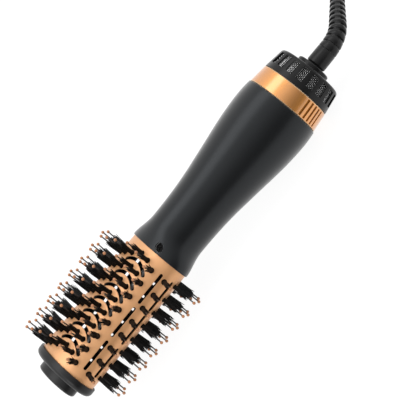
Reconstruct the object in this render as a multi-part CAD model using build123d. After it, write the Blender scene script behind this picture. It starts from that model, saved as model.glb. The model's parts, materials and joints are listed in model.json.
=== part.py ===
from build123d import *
import os
from math import cos, hypot, pi, radians, sin, sqrt, tan, atan2, degrees

# Hot air brush with an oval perforated barrel. Millimetres.
# Brush frame: X runs along the brush's axis from the tip to the cord, and x = 0 is the edge between the
# tip rim and the barrel. The barrel's narrow edge, the nose, points to -Y, and its wide faces to +Z and -Z.
# The last section lays the brush on its back face on the floor, z = 0.

os.makedirs("parts", exist_ok=True)

# ---- barrel
BARREL_LENGTH = 108.0
BARREL_P = 29.25                 # half of the oval's long axis
BARREL_Q = 19.5                  # half of its short axis
BARREL_WALL = 1.0
STATIONS = 8                     # tufts in a row
STATION_PITCH = 12.5
TUFT_HOLE_R = 2.2
NOSE_ROW_ANGLE = 17.0            # the oval's own angle, from the nose towards the front face
FACE_ROW_FIRST_ANGLE = 50.0
FACE_ROW_LAST_ANGLE = 146.9
FRONT_FIRST_X = (8.9, 12.6, 13.9, 9.4, 6.2, 3.6, 6.0)
BACK_FIRST_X = (8.0, 4.5, 5.6, 5.6, 9.6, 13.6, 12.6)
NOSE_FIRST_X = (8.2, 10.1)       # upper, lower
TAIL_FIRST_X = (8.3, 8.3)
LONG_SLOT_ANGLES = (0.0, 30.0, 180.0, 210.0)
LONG_SLOT_FIRST_X = 22.5
LONG_SLOT_PITCH = 31.5
LONG_SLOT_LENGTH = 27.6
LONG_SLOT_WIDTH = 2.5
CRESCENT_APEX_Y = -2.6
CRESCENT_WIDTH = 2.8
CRESCENT_APEX_X = 19.95
CRESCENT_ENDS = ((-5.5, -16.5), (-3.9, 5.6))         # x from the apex, and y
CRESCENT_BACK_WIDTH = 2.0        # the back's crescents are slimmer, between closer tuft holes
CRESCENT_BACK_APEX_X = 12.5
CRESCENT_BACK_ENDS = ((-5.5, -15.5), (-3.5, 5.6))

# ---- bristles
PIN_REACH = 21.0
PIN_WIDTH = 1.0
BRISTLE_REACH = 13.5
BRISTLE_WIDTH = 1.0
BRISTLE_DEPTH = 1.9
STRAND_GAP = 0.3
PAD_R = 2.7
PAD_TOP = -1.3                   # below the barrel's outer face
PAD_THICKNESS = 1.2
RAIL_WIDTH = 1.2
RAIL_OFFSET = 2.0

# ---- tip
RIM_P = 31.1
RIM_Q = 21.4
RIM_LENGTH = 7.5
RIM_ROUND = 4.0
PLUG_P = 20.25
PLUG_Q = 13.5
PLUG_LENGTH = 7.5
PLUG_ROUND = 3.0
RIM_FLOOR = 2.5
RIM_SPIGOT = 0.8                 # how far the rim reaches into the barrel
RIM_SPIGOT_WALL = 2.0
PLUG_FLOOR = 2.0
PLUG_WALL = 3.2
ROD_R = 3.0
NUT_R = 5.5
NUT_LENGTH = 3.0

# ---- handle
FLANGE_P = 30.4
FLANGE_Q = 20.55
FLARE_LENGTH = 21.5
NECK_R = 22.8
HANDLE_END = 252.0
HANDLE_RADII = ((145.5, 23.1), (157.5, 23.7), (169.5, 24.75), (181.5, 26.2), (193.5, 27.7), (205.5, 29.3),
                (217.5, 30.7), (229.5, 31.6), (240.0, 31.9), (247.0, 31.6), (HANDLE_END, 31.1))
HANDLE_WALL = 2.2
SCREW_X = 112.9
SCREW_ANGLE = 62.0
SCREW_RECESS_R = 3.45
SCREW_HEAD_R = 2.9
SCREW_HEAD_DEPTH = 2.2           # from the handle's face down to the head
SCREW_HEAD_HEIGHT = 2.0
SCREW_SHANK_R = 1.5
SCREW_SHANK_LENGTH = 4.5
DRIVE_SLOT_LENGTH = 3.6
DRIVE_SLOT_WIDTH = 0.8

# ---- collar between barrel and handle
COLLAR_SPIGOT = 3.6
COLLAR_SPIGOT_WALL = 1.6
COLLAR_PLATE_P = 27.7
COLLAR_PLATE_Q = 18.3
COLLAR_PLATE_THICKNESS = 3.0
COLLAR_TUBE_R = 18.2
COLLAR_TUBE_END = 130.0
COLLAR_LIP_R = 20.4
COLLAR_LIP_END = 131.8
AIRWAY_R = 16.6
SPIDER_WIDTH = 3.0
SPIDER_HUB_R = 6.0
SCREW_BOSS_R = 3.2
SCREW_BOSS_HEIGHT = 2.6

# ---- selector ring and rear
RING_START = 252.3
RING_LENGTH = 15.6
RING_R1 = 30.5
RING_R2 = 28.95
FRAME_R = 26.6
RUNNING_GAP = 0.05
GROOVES = 5
GROOVE_STEP = 8.65
GROOVE_WIDTH = 1.3
GROOVE_DEPTH = 0.7
GROOVE_LENGTH = 13.2
RING_BEVEL = 0.5
SELECTOR_TURN = 90.0
CAP_START = 268.2
CAP_END = 286.1
CAP_R1 = 28.9
CAP_R2 = 26.65
CAP_SHOULDER = 283.5             # where the cap's side ends and its rounded edge begins
CAP_ROUND = 2.6
CAP_WALL = 1.8
VENTS = 18
VENT_LENGTH = 10.5
VENT_WIDTH = 5.8
VENT_X = 278.2
VENT_ROUND = 0.8
BOSS_R = 13.5
BOSS_END = 290.6
BOSS_BORE_R = 7.06
BOSS_NECK_R = 11.8
BOSS_NECK_START = 274.0
BOSS_NECK_INNER_R = 10.4
BOSS_ROUND = 2.2
SWIVEL_R = 7.0
SWIVEL_DISC_R = 10.0
SWIVEL_DISC_START = 277.0
SWIVEL_DISC_END = 285.8
SWIVEL_SPIGOT_R = 5.4            # the spigot that holds the strain relief
SWIVEL_SPIGOT_START = 290.9
SWIVEL_SPIGOT_END = 297.0
RETAINER_END = 276.7
RETAINER_BORE_R = 4.2
SCREEN_THICKNESS = 0.45
SCREEN_GAP = 0.05

# ---- heater
HEATER_START = 134.0
HEATER_END = 180.0
HEATER_PLATE_WIDTH = 36.0
HEATER_PLATE_THICKNESS = 0.8
MICA_R = 19.8
MICA_THICKNESS = 0.5
WINDING_R = 19.2
WINDING_INNER_R = 18.1
WINDING_MARGIN = 6.0
THERMOSTAT_AT = (172.0, 7.0)
THERMOSTAT_R = 3.6
THERMOSTAT_HEIGHT = 3.0
FUSE_START = 167.0
FUSE_LENGTH = 10.0
FUSE_AT = (-7.0, 2.0)
FUSE_R = 1.6

# ---- fan and motor
DUCT_R = 24.0
DUCT_WALL = 1.5
DUCT_START = 184.0
DUCT_END = 246.0
DUCT_LIP = 2.0
DUCT_LIP_R = 18.6
DUCT_FLANGE = 3.0
DUCT_FLANGE_R = 28.4
SEAT_RING_START = 212.0
SEAT_RING_LENGTH = 14.0
SEAT_RING_R = 14.2
CUSHION_R = 13.0
CUSHION_START = 214.0
CUSHION_LENGTH = 10.0
VANES = 7
VANE_THICKNESS = 1.2
VANE_MID_R = 18.3
VANE_DEPTH = 8.6
MOTOR_R = 12.0
MOTOR_START = 208.0
MOTOR_END = 238.0
MOTOR_WALL = 0.8
MOTOR_CAP = 3.0
SHAFT_R = 1.15
SHAFT_START = 195.0
SHAFT_END = 242.0
ARMATURE_R = 10.2
ARMATURE_START = 212.0
ARMATURE_END = 235.0
IMPELLER_R = 21.5
HUB_R = 6.5
HUB_START = 196.0
HUB_LENGTH = 9.0
BLADES = 9
BLADE_PITCH = 35.0
BLADE_CHORD = 8.0
BLADE_THICKNESS = 1.0
BLADE_LENGTH = 15.2
BLADE_MID_R = 13.7

# ---- rear frame, switch and board
FRAME_END = 268.1
FRAME_FRONT_R = 28.6
FRAME_INNER_R = 24.4
FRAME_FLOOR = 2.0
FRAME_FLOOR_R = 18.0
REAR_SCREW_CIRCLE = 26.0
REAR_SCREW_ANGLES = (150, 240, 330)
REAR_SCREW_R = 1.25
REAR_SCREW_HEAD_R = 2.2
REAR_SCREW_HEAD = 2.0
REAR_SCREW_DEPTH = 4.0
WINDOW_X = 260.5
WINDOW_SLACK = 0.3
WINDOW_MARGIN = 7.0
KEY_ANGLE = 20.0
KEY_R = 1.5
KEY_START = 20.0
WIPER_R = 22.5
WIPER_INNER_R = 17.0
WIPER_THICKNESS = 1.0
WIPER_HALF_ANGLE = 20.0
SWITCH_START = 262.7
SWITCH_END = 265.2
SWITCH_INNER_R = 16.0
SWITCH_MARGIN = 25.0
BOARD_R = 21.0
BOARD_HOLE_R = 9.0
BOARD_END = 249.6
CAPACITOR = (14.5, 4.0, 8.0)     # y, radius, height
CHOKE = (-14.5, 3.2, 6.0)
DIODE_R = 1.5
DIODE_HEIGHT = 5.0
DIODE_Z = 14.0
DIODE_PITCH = 4.5
LEAD_R = 1.0
LEAD_START = (249.9, 11.5)       # x, y
LEAD_END = (273.7, 6.5)

# ---- cord
CORD_D = 6.8
RELIEF_START = 290.9
RELIEF_R1 = 7.95
RELIEF_R2 = 5.7
RELIEF_STEM = 15.0
RELIEF_CORNER = 318.8            # where the stem's line and the far end's line meet
RELIEF_BEND_R = 27.4
RELIEF_WAY = (0.62, 0.77, -0.11)
RELIEF_FAR = 44.0
RELIEF_RIBS = 10
RELIEF_RIB_PITCH = 5.4
RELIEF_RIB_LENGTH = 2.9
RELIEF_FIRST_RIB = 1.25          # from the stem's end
RELIEF_COLLAR = 1.4              # the stem's narrower start
RELIEF_COLLAR_STEP = 0.7
RELIEF_CORE_SHARE = 0.66
COIL_CENTRE = (292.0, 10.0)
COIL_LOW_Z = 4.8
COIL_INNER_R = 26.0
COIL_QUARTERS = 13               # quarter turns in each layer
COIL_PITCH = 7.8
COIL_LAYER = 7.5
COIL_EXIT = 24.0
TIE_WIDTH = 10.0
TIE_THICKNESS = 1.1
TIE_SLACK = 0.9
TIE_SLACK_UNDER = 0.3
TIE_ROUND = 3.0
PLUG_MOUTH_R = 4.6
PLUG_NECK_R = 7.0
PLUG_NECK_LENGTH = 14.0
PLUG_BODY_WIDTH = 30.0
PLUG_BODY_LENGTH = 30.0
PLUG_BODY_ROUND = 11.0
PLUG_END_ROUND = 3.0
PLUG_PIN_R = 2.4
PLUG_PIN_LENGTH = 19.0
PLUG_PIN_SPACING = 19.0
# the free stretch between the relief's end and the coil's start, by hand
CORD_ROUTE = ((214.33, 46.06, 18.95), (229.25, 56.13, 14.6), (246.3, 61.35, 9.9), (266.0, 61.35, 4.8))

parts = {}


# ------------------------------------------------------------------ helpers
def prism(x0, x1, sketch):
    """A sketch drawn across the brush, carried along X from x0 to x1."""
    return extrude(Plane.YZ.offset(x0) * sketch, amount=x1 - x0)


def oval(p, q):
    return Ellipse(p, q)


def ring(outer, inner):
    return Circle(outer) - Circle(inner)


def turned(points):
    """A solid of revolution about X from a closed outline of (x, radius)."""
    outline = Plane.XZ * Polyline(*points, close=True)
    return revolve(make_face(outline), axis=Axis.X)


def seat(angle, x, p=BARREL_P, q=BARREL_Q):
    """The plane on an oval's face at one of its own angles: x along the brush, z straight out."""
    a = radians(angle)
    out_y = -cos(a) / p
    out_z = sin(a) / q
    size = hypot(out_y, out_z)
    return Plane(origin=(x, -p * cos(a), q * sin(a)), x_dir=(1, 0, 0), z_dir=(0, out_y / size, out_z / size))


def around(angle, x, radius):
    """A place at an angle from +Y towards +Z about the brush's axis, its z pointing outwards."""
    a = radians(angle)
    return Plane(origin=(x, radius * cos(a), radius * sin(a)), x_dir=(1, 0, 0), z_dir=(0, cos(a), sin(a)))


def upright(width_x, width_y, z0, z1, x=0.0, y=0.0):
    return Pos(x, y, (z0 + z1) / 2) * Box(width_x, width_y, z1 - z0)


def peg(radius, z0, z1, x=0.0, y=0.0):
    return Pos(x, y, (z0 + z1) / 2) * Cylinder(radius, z1 - z0)


# ------------------------------------------------------------------ barrel and bristles
def bristle_rows():
    """Name, oval angle and first station of every row of tufts."""
    rows = [("bristles_nose_upper", NOSE_ROW_ANGLE, NOSE_FIRST_X[0]),
            ("bristles_nose_lower", -NOSE_ROW_ANGLE, NOSE_FIRST_X[1]),
            ("bristles_tail_upper", 180 - NOSE_ROW_ANGLE, TAIL_FIRST_X[0]),
            ("bristles_tail_lower", 180 + NOSE_ROW_ANGLE, TAIL_FIRST_X[1])]
    step = (FACE_ROW_LAST_ANGLE - FACE_ROW_FIRST_ANGLE) / (len(FRONT_FIRST_X) - 1)
    for i, (front_x, back_x) in enumerate(zip(FRONT_FIRST_X, BACK_FIRST_X)):
        angle = FACE_ROW_FIRST_ANGLE + i * step
        rows.append((f"bristles_front_{i + 1}", angle, front_x))
        rows.append((f"bristles_back_{i + 1}", angle + 180, back_x))
    return rows


def make_row():
    """One row on its own seat plane: a rail, and at each station a pad, a pin and two bundles of bristle."""
    pad_low = PAD_TOP - PAD_THICKNESS
    root = PAD_TOP - PAD_THICKNESS / 2
    length = (STATIONS - 1) * STATION_PITCH
    side = PIN_WIDTH / 2 + STRAND_GAP + BRISTLE_WIDTH / 2
    pieces = []
    for i in range(STATIONS):
        x = i * STATION_PITCH
        pieces.append(peg(PAD_R, pad_low, PAD_TOP, x))
        pieces.append(upright(PIN_WIDTH, PIN_WIDTH, root, PIN_REACH, x))
        pieces.append(upright(BRISTLE_WIDTH, BRISTLE_DEPTH, root, BRISTLE_REACH, x - side))
        pieces.append(upright(BRISTLE_WIDTH, BRISTLE_DEPTH, root, BRISTLE_REACH, x + side))
    rail = upright(length, RAIL_WIDTH, pad_low, PAD_TOP, length / 2, RAIL_OFFSET)
    return rail.fuse(*pieces)


def make_barrel():
    shell = prism(0, BARREL_LENGTH, oval(BARREL_P, BARREL_Q)
                  - oval(BARREL_P - BARREL_WALL, BARREL_Q - BARREL_WALL))
    long_slot = extrude(SlotOverall(LONG_SLOT_LENGTH, LONG_SLOT_WIDTH), amount=3, both=True)
    cutters = []
    for _, angle, first_x in bristle_rows():
        for i in range(STATIONS):
            cutters.append(seat(angle, first_x + i * STATION_PITCH) * peg(TUFT_HOLE_R, -3, 3))
    for angle in LONG_SLOT_ANGLES:
        for i in range(3):
            place = seat(angle, LONG_SLOT_FIRST_X + i * LONG_SLOT_PITCH)
            cutters.append(place * long_slot)
    for i in range(STATIONS - 1):
        front_x = CRESCENT_APEX_X + i * STATION_PITCH
        back_x = CRESCENT_BACK_APEX_X + i * STATION_PITCH
        cutters.append(crescent(front_x, CRESCENT_ENDS, CRESCENT_WIDTH))
        cutters.append(Rot(180, 0, 0) * crescent(back_x, CRESCENT_BACK_ENDS, CRESCENT_BACK_WIDTH))
    return shell.cut(*cutters)


def crescent(apex_x, ends, width):
    """A crescent slot's cutter through the front face."""
    (nose_x, nose_y), (tail_x, tail_y) = ends
    arc = ThreePointArc((apex_x + nose_x, nose_y), (apex_x, CRESCENT_APEX_Y), (apex_x + tail_x, tail_y))
    return extrude(Pos(0, 0, BARREL_Q / 2) * SlotArc(arc, width), amount=BARREL_Q)


parts["barrel_shell"] = make_barrel()
row = make_row()
for name, angle, first_x in bristle_rows():
    parts[name] = seat(angle, first_x).location * row


# ------------------------------------------------------------------ tip
def make_rim():
    body = prism(-RIM_LENGTH, 0, oval(RIM_P, RIM_Q))
    body = fillet(body.faces().sort_by(Axis.X)[0].edges(), RIM_ROUND)
    p = BARREL_P - BARREL_WALL
    q = BARREL_Q - BARREL_WALL
    spigot = prism(0, RIM_SPIGOT, oval(p, q))
    hollow = prism(-RIM_LENGTH + RIM_FLOOR, RIM_SPIGOT, oval(p - RIM_SPIGOT_WALL, q - RIM_SPIGOT_WALL))
    return body + spigot - hollow - prism(-RIM_LENGTH, 0, Circle(ROD_R))


def make_tip_plug():
    body = prism(TIP_FACE_X, -RIM_LENGTH, oval(PLUG_P, PLUG_Q))
    body = fillet(body.faces().sort_by(Axis.X)[0].edges(), PLUG_ROUND)
    return body - prism(TIP_FACE_X + PLUG_FLOOR, -RIM_LENGTH, oval(PLUG_P - PLUG_WALL, PLUG_Q - PLUG_WALL))


TIP_FACE_X = -RIM_LENGTH - PLUG_LENGTH
ROD_END = BARREL_LENGTH - 1
parts["tip_rim"] = make_rim()
parts["tip_plug"] = make_tip_plug()
parts["tie_rod"] = prism(-RIM_LENGTH, ROD_END, Circle(ROD_R))
parts["tip_nut"] = prism(-RIM_LENGTH - NUT_LENGTH, -RIM_LENGTH, RegularPolygon(NUT_R, 6))


# ------------------------------------------------------------------ handle
def flare(x):
    """How far the section is still the flange's oval: 1 at the barrel, 0 at the round neck."""
    return (1 + cos(pi * min((x - BARREL_LENGTH) / FLARE_LENGTH, 1))) / 2


def flare_section(x):
    share = flare(x)
    return NECK_R + (FLANGE_P - NECK_R) * share, NECK_R + (FLANGE_Q - NECK_R) * share


def handle_body(inset):
    """The handle's outer form, drawn in by inset, lofted through ovals that turn into circles."""
    steps = 6
    sections = []
    for i in range(steps + 1):
        x = BARREL_LENGTH + FLARE_LENGTH * i / steps
        sections.append((x, *flare_section(x)))
    sections += [(x, r, r) for x, r in HANDLE_RADII]
    return loft([Plane.YZ.offset(x) * Ellipse(p - inset, q - inset) for x, p, q in sections])


SCREW_P, SCREW_Q = flare_section(SCREW_X)
SCREW_SEATS = [seat(SCREW_ANGLE + turn, SCREW_X, SCREW_P, SCREW_Q) for turn in (0, 180)]


def make_sleeve():
    recesses = [place * peg(SCREW_RECESS_R, -5, 5) for place in SCREW_SEATS]
    return (handle_body(0) - handle_body(HANDLE_WALL)).cut(*recesses)


def make_handle_screws():
    head_top = -SCREW_HEAD_DEPTH
    head_low = head_top - SCREW_HEAD_HEIGHT
    screw = peg(SCREW_HEAD_R, head_low, head_top)
    screw += peg(SCREW_SHANK_R, head_low - SCREW_SHANK_LENGTH, head_low)
    screw -= (upright(DRIVE_SLOT_LENGTH, DRIVE_SLOT_WIDTH, head_top - 1, head_top)
              + upright(DRIVE_SLOT_WIDTH, DRIVE_SLOT_LENGTH, head_top - 1, head_top))
    return Compound([place.location * screw for place in SCREW_SEATS])


def make_collar():
    """Carries the barrel: a spigot in it, a plate under the flange and a tube into the neck."""
    spigot_start = BARREL_LENGTH - COLLAR_SPIGOT
    p = BARREL_P - BARREL_WALL
    q = BARREL_Q - BARREL_WALL
    spigot = prism(spigot_start, BARREL_LENGTH,
                   oval(p, q) - oval(p - COLLAR_SPIGOT_WALL, q - COLLAR_SPIGOT_WALL))
    plate = prism(BARREL_LENGTH, BARREL_LENGTH + COLLAR_PLATE_THICKNESS,
                  oval(COLLAR_PLATE_P, COLLAR_PLATE_Q) - Circle(AIRWAY_R))
    tube = prism(BARREL_LENGTH, COLLAR_TUBE_END, ring(COLLAR_TUBE_R, AIRWAY_R))
    lip = prism(COLLAR_TUBE_END, COLLAR_LIP_END, ring(COLLAR_LIP_R, AIRWAY_R))
    spider = prism(spigot_start, BARREL_LENGTH, Rectangle(2 * p - 2, SPIDER_WIDTH)
                   + Rectangle(SPIDER_WIDTH, 2 * q - 2) + Circle(SPIDER_HUB_R))
    body = spigot + plate + tube + lip + spider
    head_low = -SCREW_HEAD_DEPTH - SCREW_HEAD_HEIGHT
    for place in SCREW_SEATS:
        body += place * peg(SCREW_BOSS_R, head_low - SCREW_BOSS_HEIGHT, head_low)
    for place in SCREW_SEATS:
        body -= place * peg(SCREW_SHANK_R, head_low - SCREW_SHANK_LENGTH, head_low)
        body -= place * peg(SCREW_HEAD_R, head_low, 1)
    body -= prism(BARREL_LENGTH, COLLAR_LIP_END, Circle(AIRWAY_R))
    return body - prism(spigot_start, ROD_END, Circle(ROD_R))


parts["handle_sleeve"] = make_sleeve()
parts["handle_screws"] = make_handle_screws()
parts["head_collar"] = make_collar()


# ------------------------------------------------------------------ heater
def make_heater_cross():
    flat = Rectangle(HEATER_PLATE_WIDTH, HEATER_PLATE_THICKNESS)
    return prism(HEATER_START, HEATER_END, flat + Rot(0, 0, 90) * flat)


parts["mica_sleeve"] = prism(COLLAR_LIP_END, DUCT_START, ring(MICA_R, MICA_R - MICA_THICKNESS))
parts["heater_cross"] = make_heater_cross()
parts["heater_winding"] = prism(HEATER_START + WINDING_MARGIN, HEATER_END - WINDING_MARGIN,
                                ring(WINDING_R, WINDING_INNER_R))
parts["thermostat"] = (Pos(*THERMOSTAT_AT, HEATER_PLATE_THICKNESS / 2)
                       * peg(THERMOSTAT_R, 0, THERMOSTAT_HEIGHT))
parts["thermal_fuse"] = prism(FUSE_START, FUSE_START + FUSE_LENGTH, Pos(*FUSE_AT) * Circle(FUSE_R))


# ------------------------------------------------------------------ fan and motor
def make_duct():
    inner = DUCT_R - DUCT_WALL
    seat_ring_end = SEAT_RING_START + SEAT_RING_LENGTH
    body = prism(DUCT_START, DUCT_END, ring(DUCT_R, inner))
    body += prism(DUCT_START, DUCT_START + DUCT_LIP, ring(DUCT_R, DUCT_LIP_R))
    body += prism(DUCT_END - DUCT_FLANGE, DUCT_END, ring(DUCT_FLANGE_R, inner))
    body += prism(SEAT_RING_START, seat_ring_end, ring(SEAT_RING_R, CUSHION_R))
    vane = (Pos((SEAT_RING_START + seat_ring_end) / 2, 0, VANE_MID_R)
            * Box(SEAT_RING_LENGTH, VANE_THICKNESS, VANE_DEPTH))
    for i in range(VANES):
        body += Rot(360 / VANES * i, 0, 0) * vane
    for place in REAR_SCREW_PLACES:
        body -= prism(DUCT_END - REAR_SCREW_DEPTH, DUCT_END, Pos(*place) * Circle(REAR_SCREW_R))
    return body


def make_impeller():
    """A hub and pitched blades; each blade is a plate turned about its own radius."""
    hub = prism(HUB_START, HUB_START + HUB_LENGTH, ring(HUB_R, SHAFT_R))
    blade = (Pos(HUB_START + HUB_LENGTH / 2, 0, BLADE_MID_R) * Rot(0, 0, BLADE_PITCH)
             * Box(BLADE_CHORD, BLADE_THICKNESS, BLADE_LENGTH))
    blades = [Rot(360 / BLADES * i, 0, 0) * blade for i in range(BLADES)]
    return hub.fuse(*blades) & prism(DUCT_START, MOTOR_END, ring(IMPELLER_R, SHAFT_R))


REAR_SCREW_PLACES = [(REAR_SCREW_CIRCLE * cos(radians(a)), REAR_SCREW_CIRCLE * sin(radians(a)))
                     for a in REAR_SCREW_ANGLES]
parts["fan_duct"] = make_duct()
parts["motor_can"] = (prism(MOTOR_START, MOTOR_END, Circle(MOTOR_R))
                      - prism(MOTOR_START + MOTOR_WALL, MOTOR_END, Circle(MOTOR_R - MOTOR_WALL))
                      - prism(MOTOR_START, MOTOR_END, Circle(SHAFT_R + RUNNING_GAP)))
parts["motor_end_cap"] = prism(MOTOR_END, MOTOR_END + MOTOR_CAP, ring(MOTOR_R, SHAFT_R + RUNNING_GAP))
parts["motor_cushion"] = prism(CUSHION_START, CUSHION_START + CUSHION_LENGTH, ring(CUSHION_R, MOTOR_R))
parts["motor_shaft"] = prism(SHAFT_START, SHAFT_END, Circle(SHAFT_R))
parts["armature"] = prism(ARMATURE_START, ARMATURE_END, ring(ARMATURE_R, SHAFT_R))
parts["impeller"] = make_impeller()


# ------------------------------------------------------------------ rear frame, switch and board
def sector(outer, inner, start, end):
    """A ring's piece between two angles, from +Y towards +Z."""
    wedge = [(0, 0)]
    steps = 6
    for i in range(steps + 1):
        a = radians(start + (end - start) * i / steps)
        wedge.append((2 * outer * cos(a), 2 * outer * sin(a)))
    return ring(outer, inner) & make_face(Polyline(*wedge, close=True))


def make_rear_frame():
    floor_end = DUCT_END + FRAME_FLOOR
    body = prism(DUCT_END, HANDLE_END, ring(FRAME_FRONT_R, FRAME_INNER_R))
    body += prism(HANDLE_END, FRAME_END, ring(FRAME_R, FRAME_INNER_R))
    body += prism(DUCT_END, floor_end, ring(FRAME_FRONT_R, FRAME_FLOOR_R))
    window = sector(FRAME_R + 1, FRAME_INNER_R - 1, KEY_ANGLE - WINDOW_MARGIN,
                    KEY_ANGLE + SELECTOR_TURN + WINDOW_MARGIN)
    body -= prism(WINDOW_X - KEY_R - WINDOW_SLACK, WINDOW_X + KEY_R + WINDOW_SLACK, window)
    for place in REAR_SCREW_PLACES:
        body -= prism(DUCT_END, floor_end, Pos(*place) * Circle(REAR_SCREW_R))
        body -= prism(floor_end, HANDLE_END, Pos(*place) * Circle(REAR_SCREW_HEAD_R + 0.1))
    return body


def make_rear_screws():
    floor_end = DUCT_END + FRAME_FLOOR
    screws = []
    for place in REAR_SCREW_PLACES:
        at = Pos(*place)
        shank = prism(DUCT_END - REAR_SCREW_DEPTH, floor_end, at * Circle(REAR_SCREW_R))
        screws.append(shank + prism(floor_end, floor_end + REAR_SCREW_HEAD, at * Circle(REAR_SCREW_HEAD_R)))
    return Compound(screws)


def make_wiper():
    """The selector's inner half: an arc plate with a key that reaches out to the ring."""
    half = WIPER_THICKNESS / 2
    plate = prism(WINDOW_X - half, WINDOW_X + half,
                  sector(WIPER_R, WIPER_INNER_R, KEY_ANGLE - WIPER_HALF_ANGLE, KEY_ANGLE + WIPER_HALF_ANGLE))
    key = around(KEY_ANGLE, WINDOW_X, 0) * peg(KEY_R, KEY_START, FRAME_R)
    return plate + key


def make_board_parts():
    big = [prism(BOARD_END, BOARD_END + height, Pos(0, y) * Circle(radius))
           for y, radius, height in (CAPACITOR, CHOKE)]
    diodes = [prism(BOARD_END, BOARD_END + DIODE_HEIGHT, Pos(DIODE_Z, i * DIODE_PITCH) * Circle(DIODE_R))
              for i in (-1, 0, 1)]
    return Compound(big + diodes)


parts["rear_frame"] = make_rear_frame()
parts["rear_screws"] = make_rear_screws()
parts["circuit_board"] = prism(DUCT_END + FRAME_FLOOR, BOARD_END, ring(BOARD_R, BOARD_HOLE_R))
parts["board_parts"] = make_board_parts()
parts["switch_block"] = prism(SWITCH_START, SWITCH_END,
                              sector(FRAME_INNER_R, SWITCH_INNER_R, KEY_ANGLE - SWITCH_MARGIN,
                                     KEY_ANGLE + SELECTOR_TURN + SWITCH_MARGIN))
parts["switch_wiper"] = make_wiper()


# ------------------------------------------------------------------ selector ring
def make_selector():
    end = RING_START + RING_LENGTH
    bevel = RING_BEVEL
    inner = FRAME_R + RUNNING_GAP
    body = turned([(RING_START, inner), (RING_START, RING_R1 - bevel), (RING_START + bevel, RING_R1),
                   (end - bevel, RING_R2), (end, RING_R2 - bevel), (end, inner)])
    slope = degrees(atan2(RING_R1 - RING_R2, RING_LENGTH))
    mid_x = RING_START + RING_LENGTH / 2
    mid_r = (RING_R1 + RING_R2) / 2
    grooves = []
    for i in range(GROOVES):
        angle = 180 + (i - (GROOVES - 1) / 2) * GROOVE_STEP
        cutter = Rot(0, slope, 0) * upright(GROOVE_LENGTH, GROOVE_WIDTH, -GROOVE_DEPTH, 2)
        grooves.append(around(angle, mid_x, mid_r) * cutter)
    return body.cut(*grooves)


parts["selector_ring"] = make_selector()


# ------------------------------------------------------------------ vent cap and cord boss
def cap_radius(x):
    return CAP_R1 + (CAP_R2 - CAP_R1) * (x - CAP_START) / (CAP_SHOULDER - CAP_START)


def make_vent_cap():
    cone = turned([(CAP_START, 0), (CAP_START, CAP_R1), (CAP_END, cap_radius(CAP_END)), (CAP_END, 0)])
    body = fillet(cone.faces().sort_by(Axis.X)[-1].edges(), CAP_ROUND)
    inside = CAP_END - CAP_WALL
    body -= turned([(CAP_START, 0), (CAP_START, CAP_R1 - CAP_WALL), (inside, cap_radius(inside) - CAP_WALL),
                    (inside, 0)])
    body -= prism(CAP_START, CAP_END, Circle(BOSS_NECK_R))
    vent = extrude(RectangleRounded(VENT_LENGTH, VENT_WIDTH, VENT_ROUND), amount=4, both=True)
    vents = [around(360 / VENTS * (i + 0.5), VENT_X, CAP_R2) * vent for i in range(VENTS)]
    return body.cut(*vents)


def make_screen():
    start = CAP_START + SCREEN_GAP
    end = CAP_END - CAP_WALL
    r1 = CAP_R1 - CAP_WALL - SCREEN_GAP
    r2 = cap_radius(end) - CAP_WALL - SCREEN_GAP
    return turned([(start, r1), (start, r1 - SCREEN_THICKNESS), (end, r2 - SCREEN_THICKNESS), (end, r2)])


def make_boss():
    body = prism(CAP_END, BOSS_END, Circle(BOSS_R))
    body = fillet(body.faces().sort_by(Axis.X)[-1].edges(), BOSS_ROUND)
    body += prism(BOSS_NECK_START, CAP_END, Circle(BOSS_NECK_R))
    body -= prism(BOSS_NECK_START, CAP_END, Circle(BOSS_NECK_INNER_R))
    return body - prism(CAP_END, BOSS_END, Circle(BOSS_BORE_R))


def make_swivel():
    body = prism(SWIVEL_DISC_START, SWIVEL_DISC_END, Circle(SWIVEL_DISC_R))
    body += prism(SWIVEL_DISC_END, SWIVEL_SPIGOT_START, Circle(SWIVEL_R))
    body += prism(SWIVEL_SPIGOT_START, SWIVEL_SPIGOT_END, Circle(SWIVEL_SPIGOT_R))
    return body - prism(SWIVEL_DISC_START, SWIVEL_SPIGOT_END, Circle(CORD_D / 2))


def lead(side):
    start = Vector(LEAD_START[0], side * LEAD_START[1], 0)
    end = Vector(LEAD_END[0], side * LEAD_END[1], 0)
    return Plane(origin=start, z_dir=end - start) * peg(LEAD_R, 0, (end - start).length)


parts["vent_cap"] = make_vent_cap()
parts["filter_screen"] = make_screen()
parts["cord_boss"] = make_boss()
parts["swivel_retainer"] = prism(BOSS_NECK_START, RETAINER_END, ring(BOSS_NECK_INNER_R, RETAINER_BORE_R))
parts["swivel_core"] = make_swivel()
parts["lead_wires"] = Compound([lead(1), lead(-1)])


# ------------------------------------------------------------------ strain relief, in the brush frame
RELIEF_TIP = Vector(RELIEF_CORNER, 0, 0) + Vector(RELIEF_WAY).normalized() * RELIEF_FAR
RELIEF_POINTS = ((RELIEF_START, 0, 0), (RELIEF_CORNER, 0, 0), (RELIEF_TIP.X, RELIEF_TIP.Y, RELIEF_TIP.Z))


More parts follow.
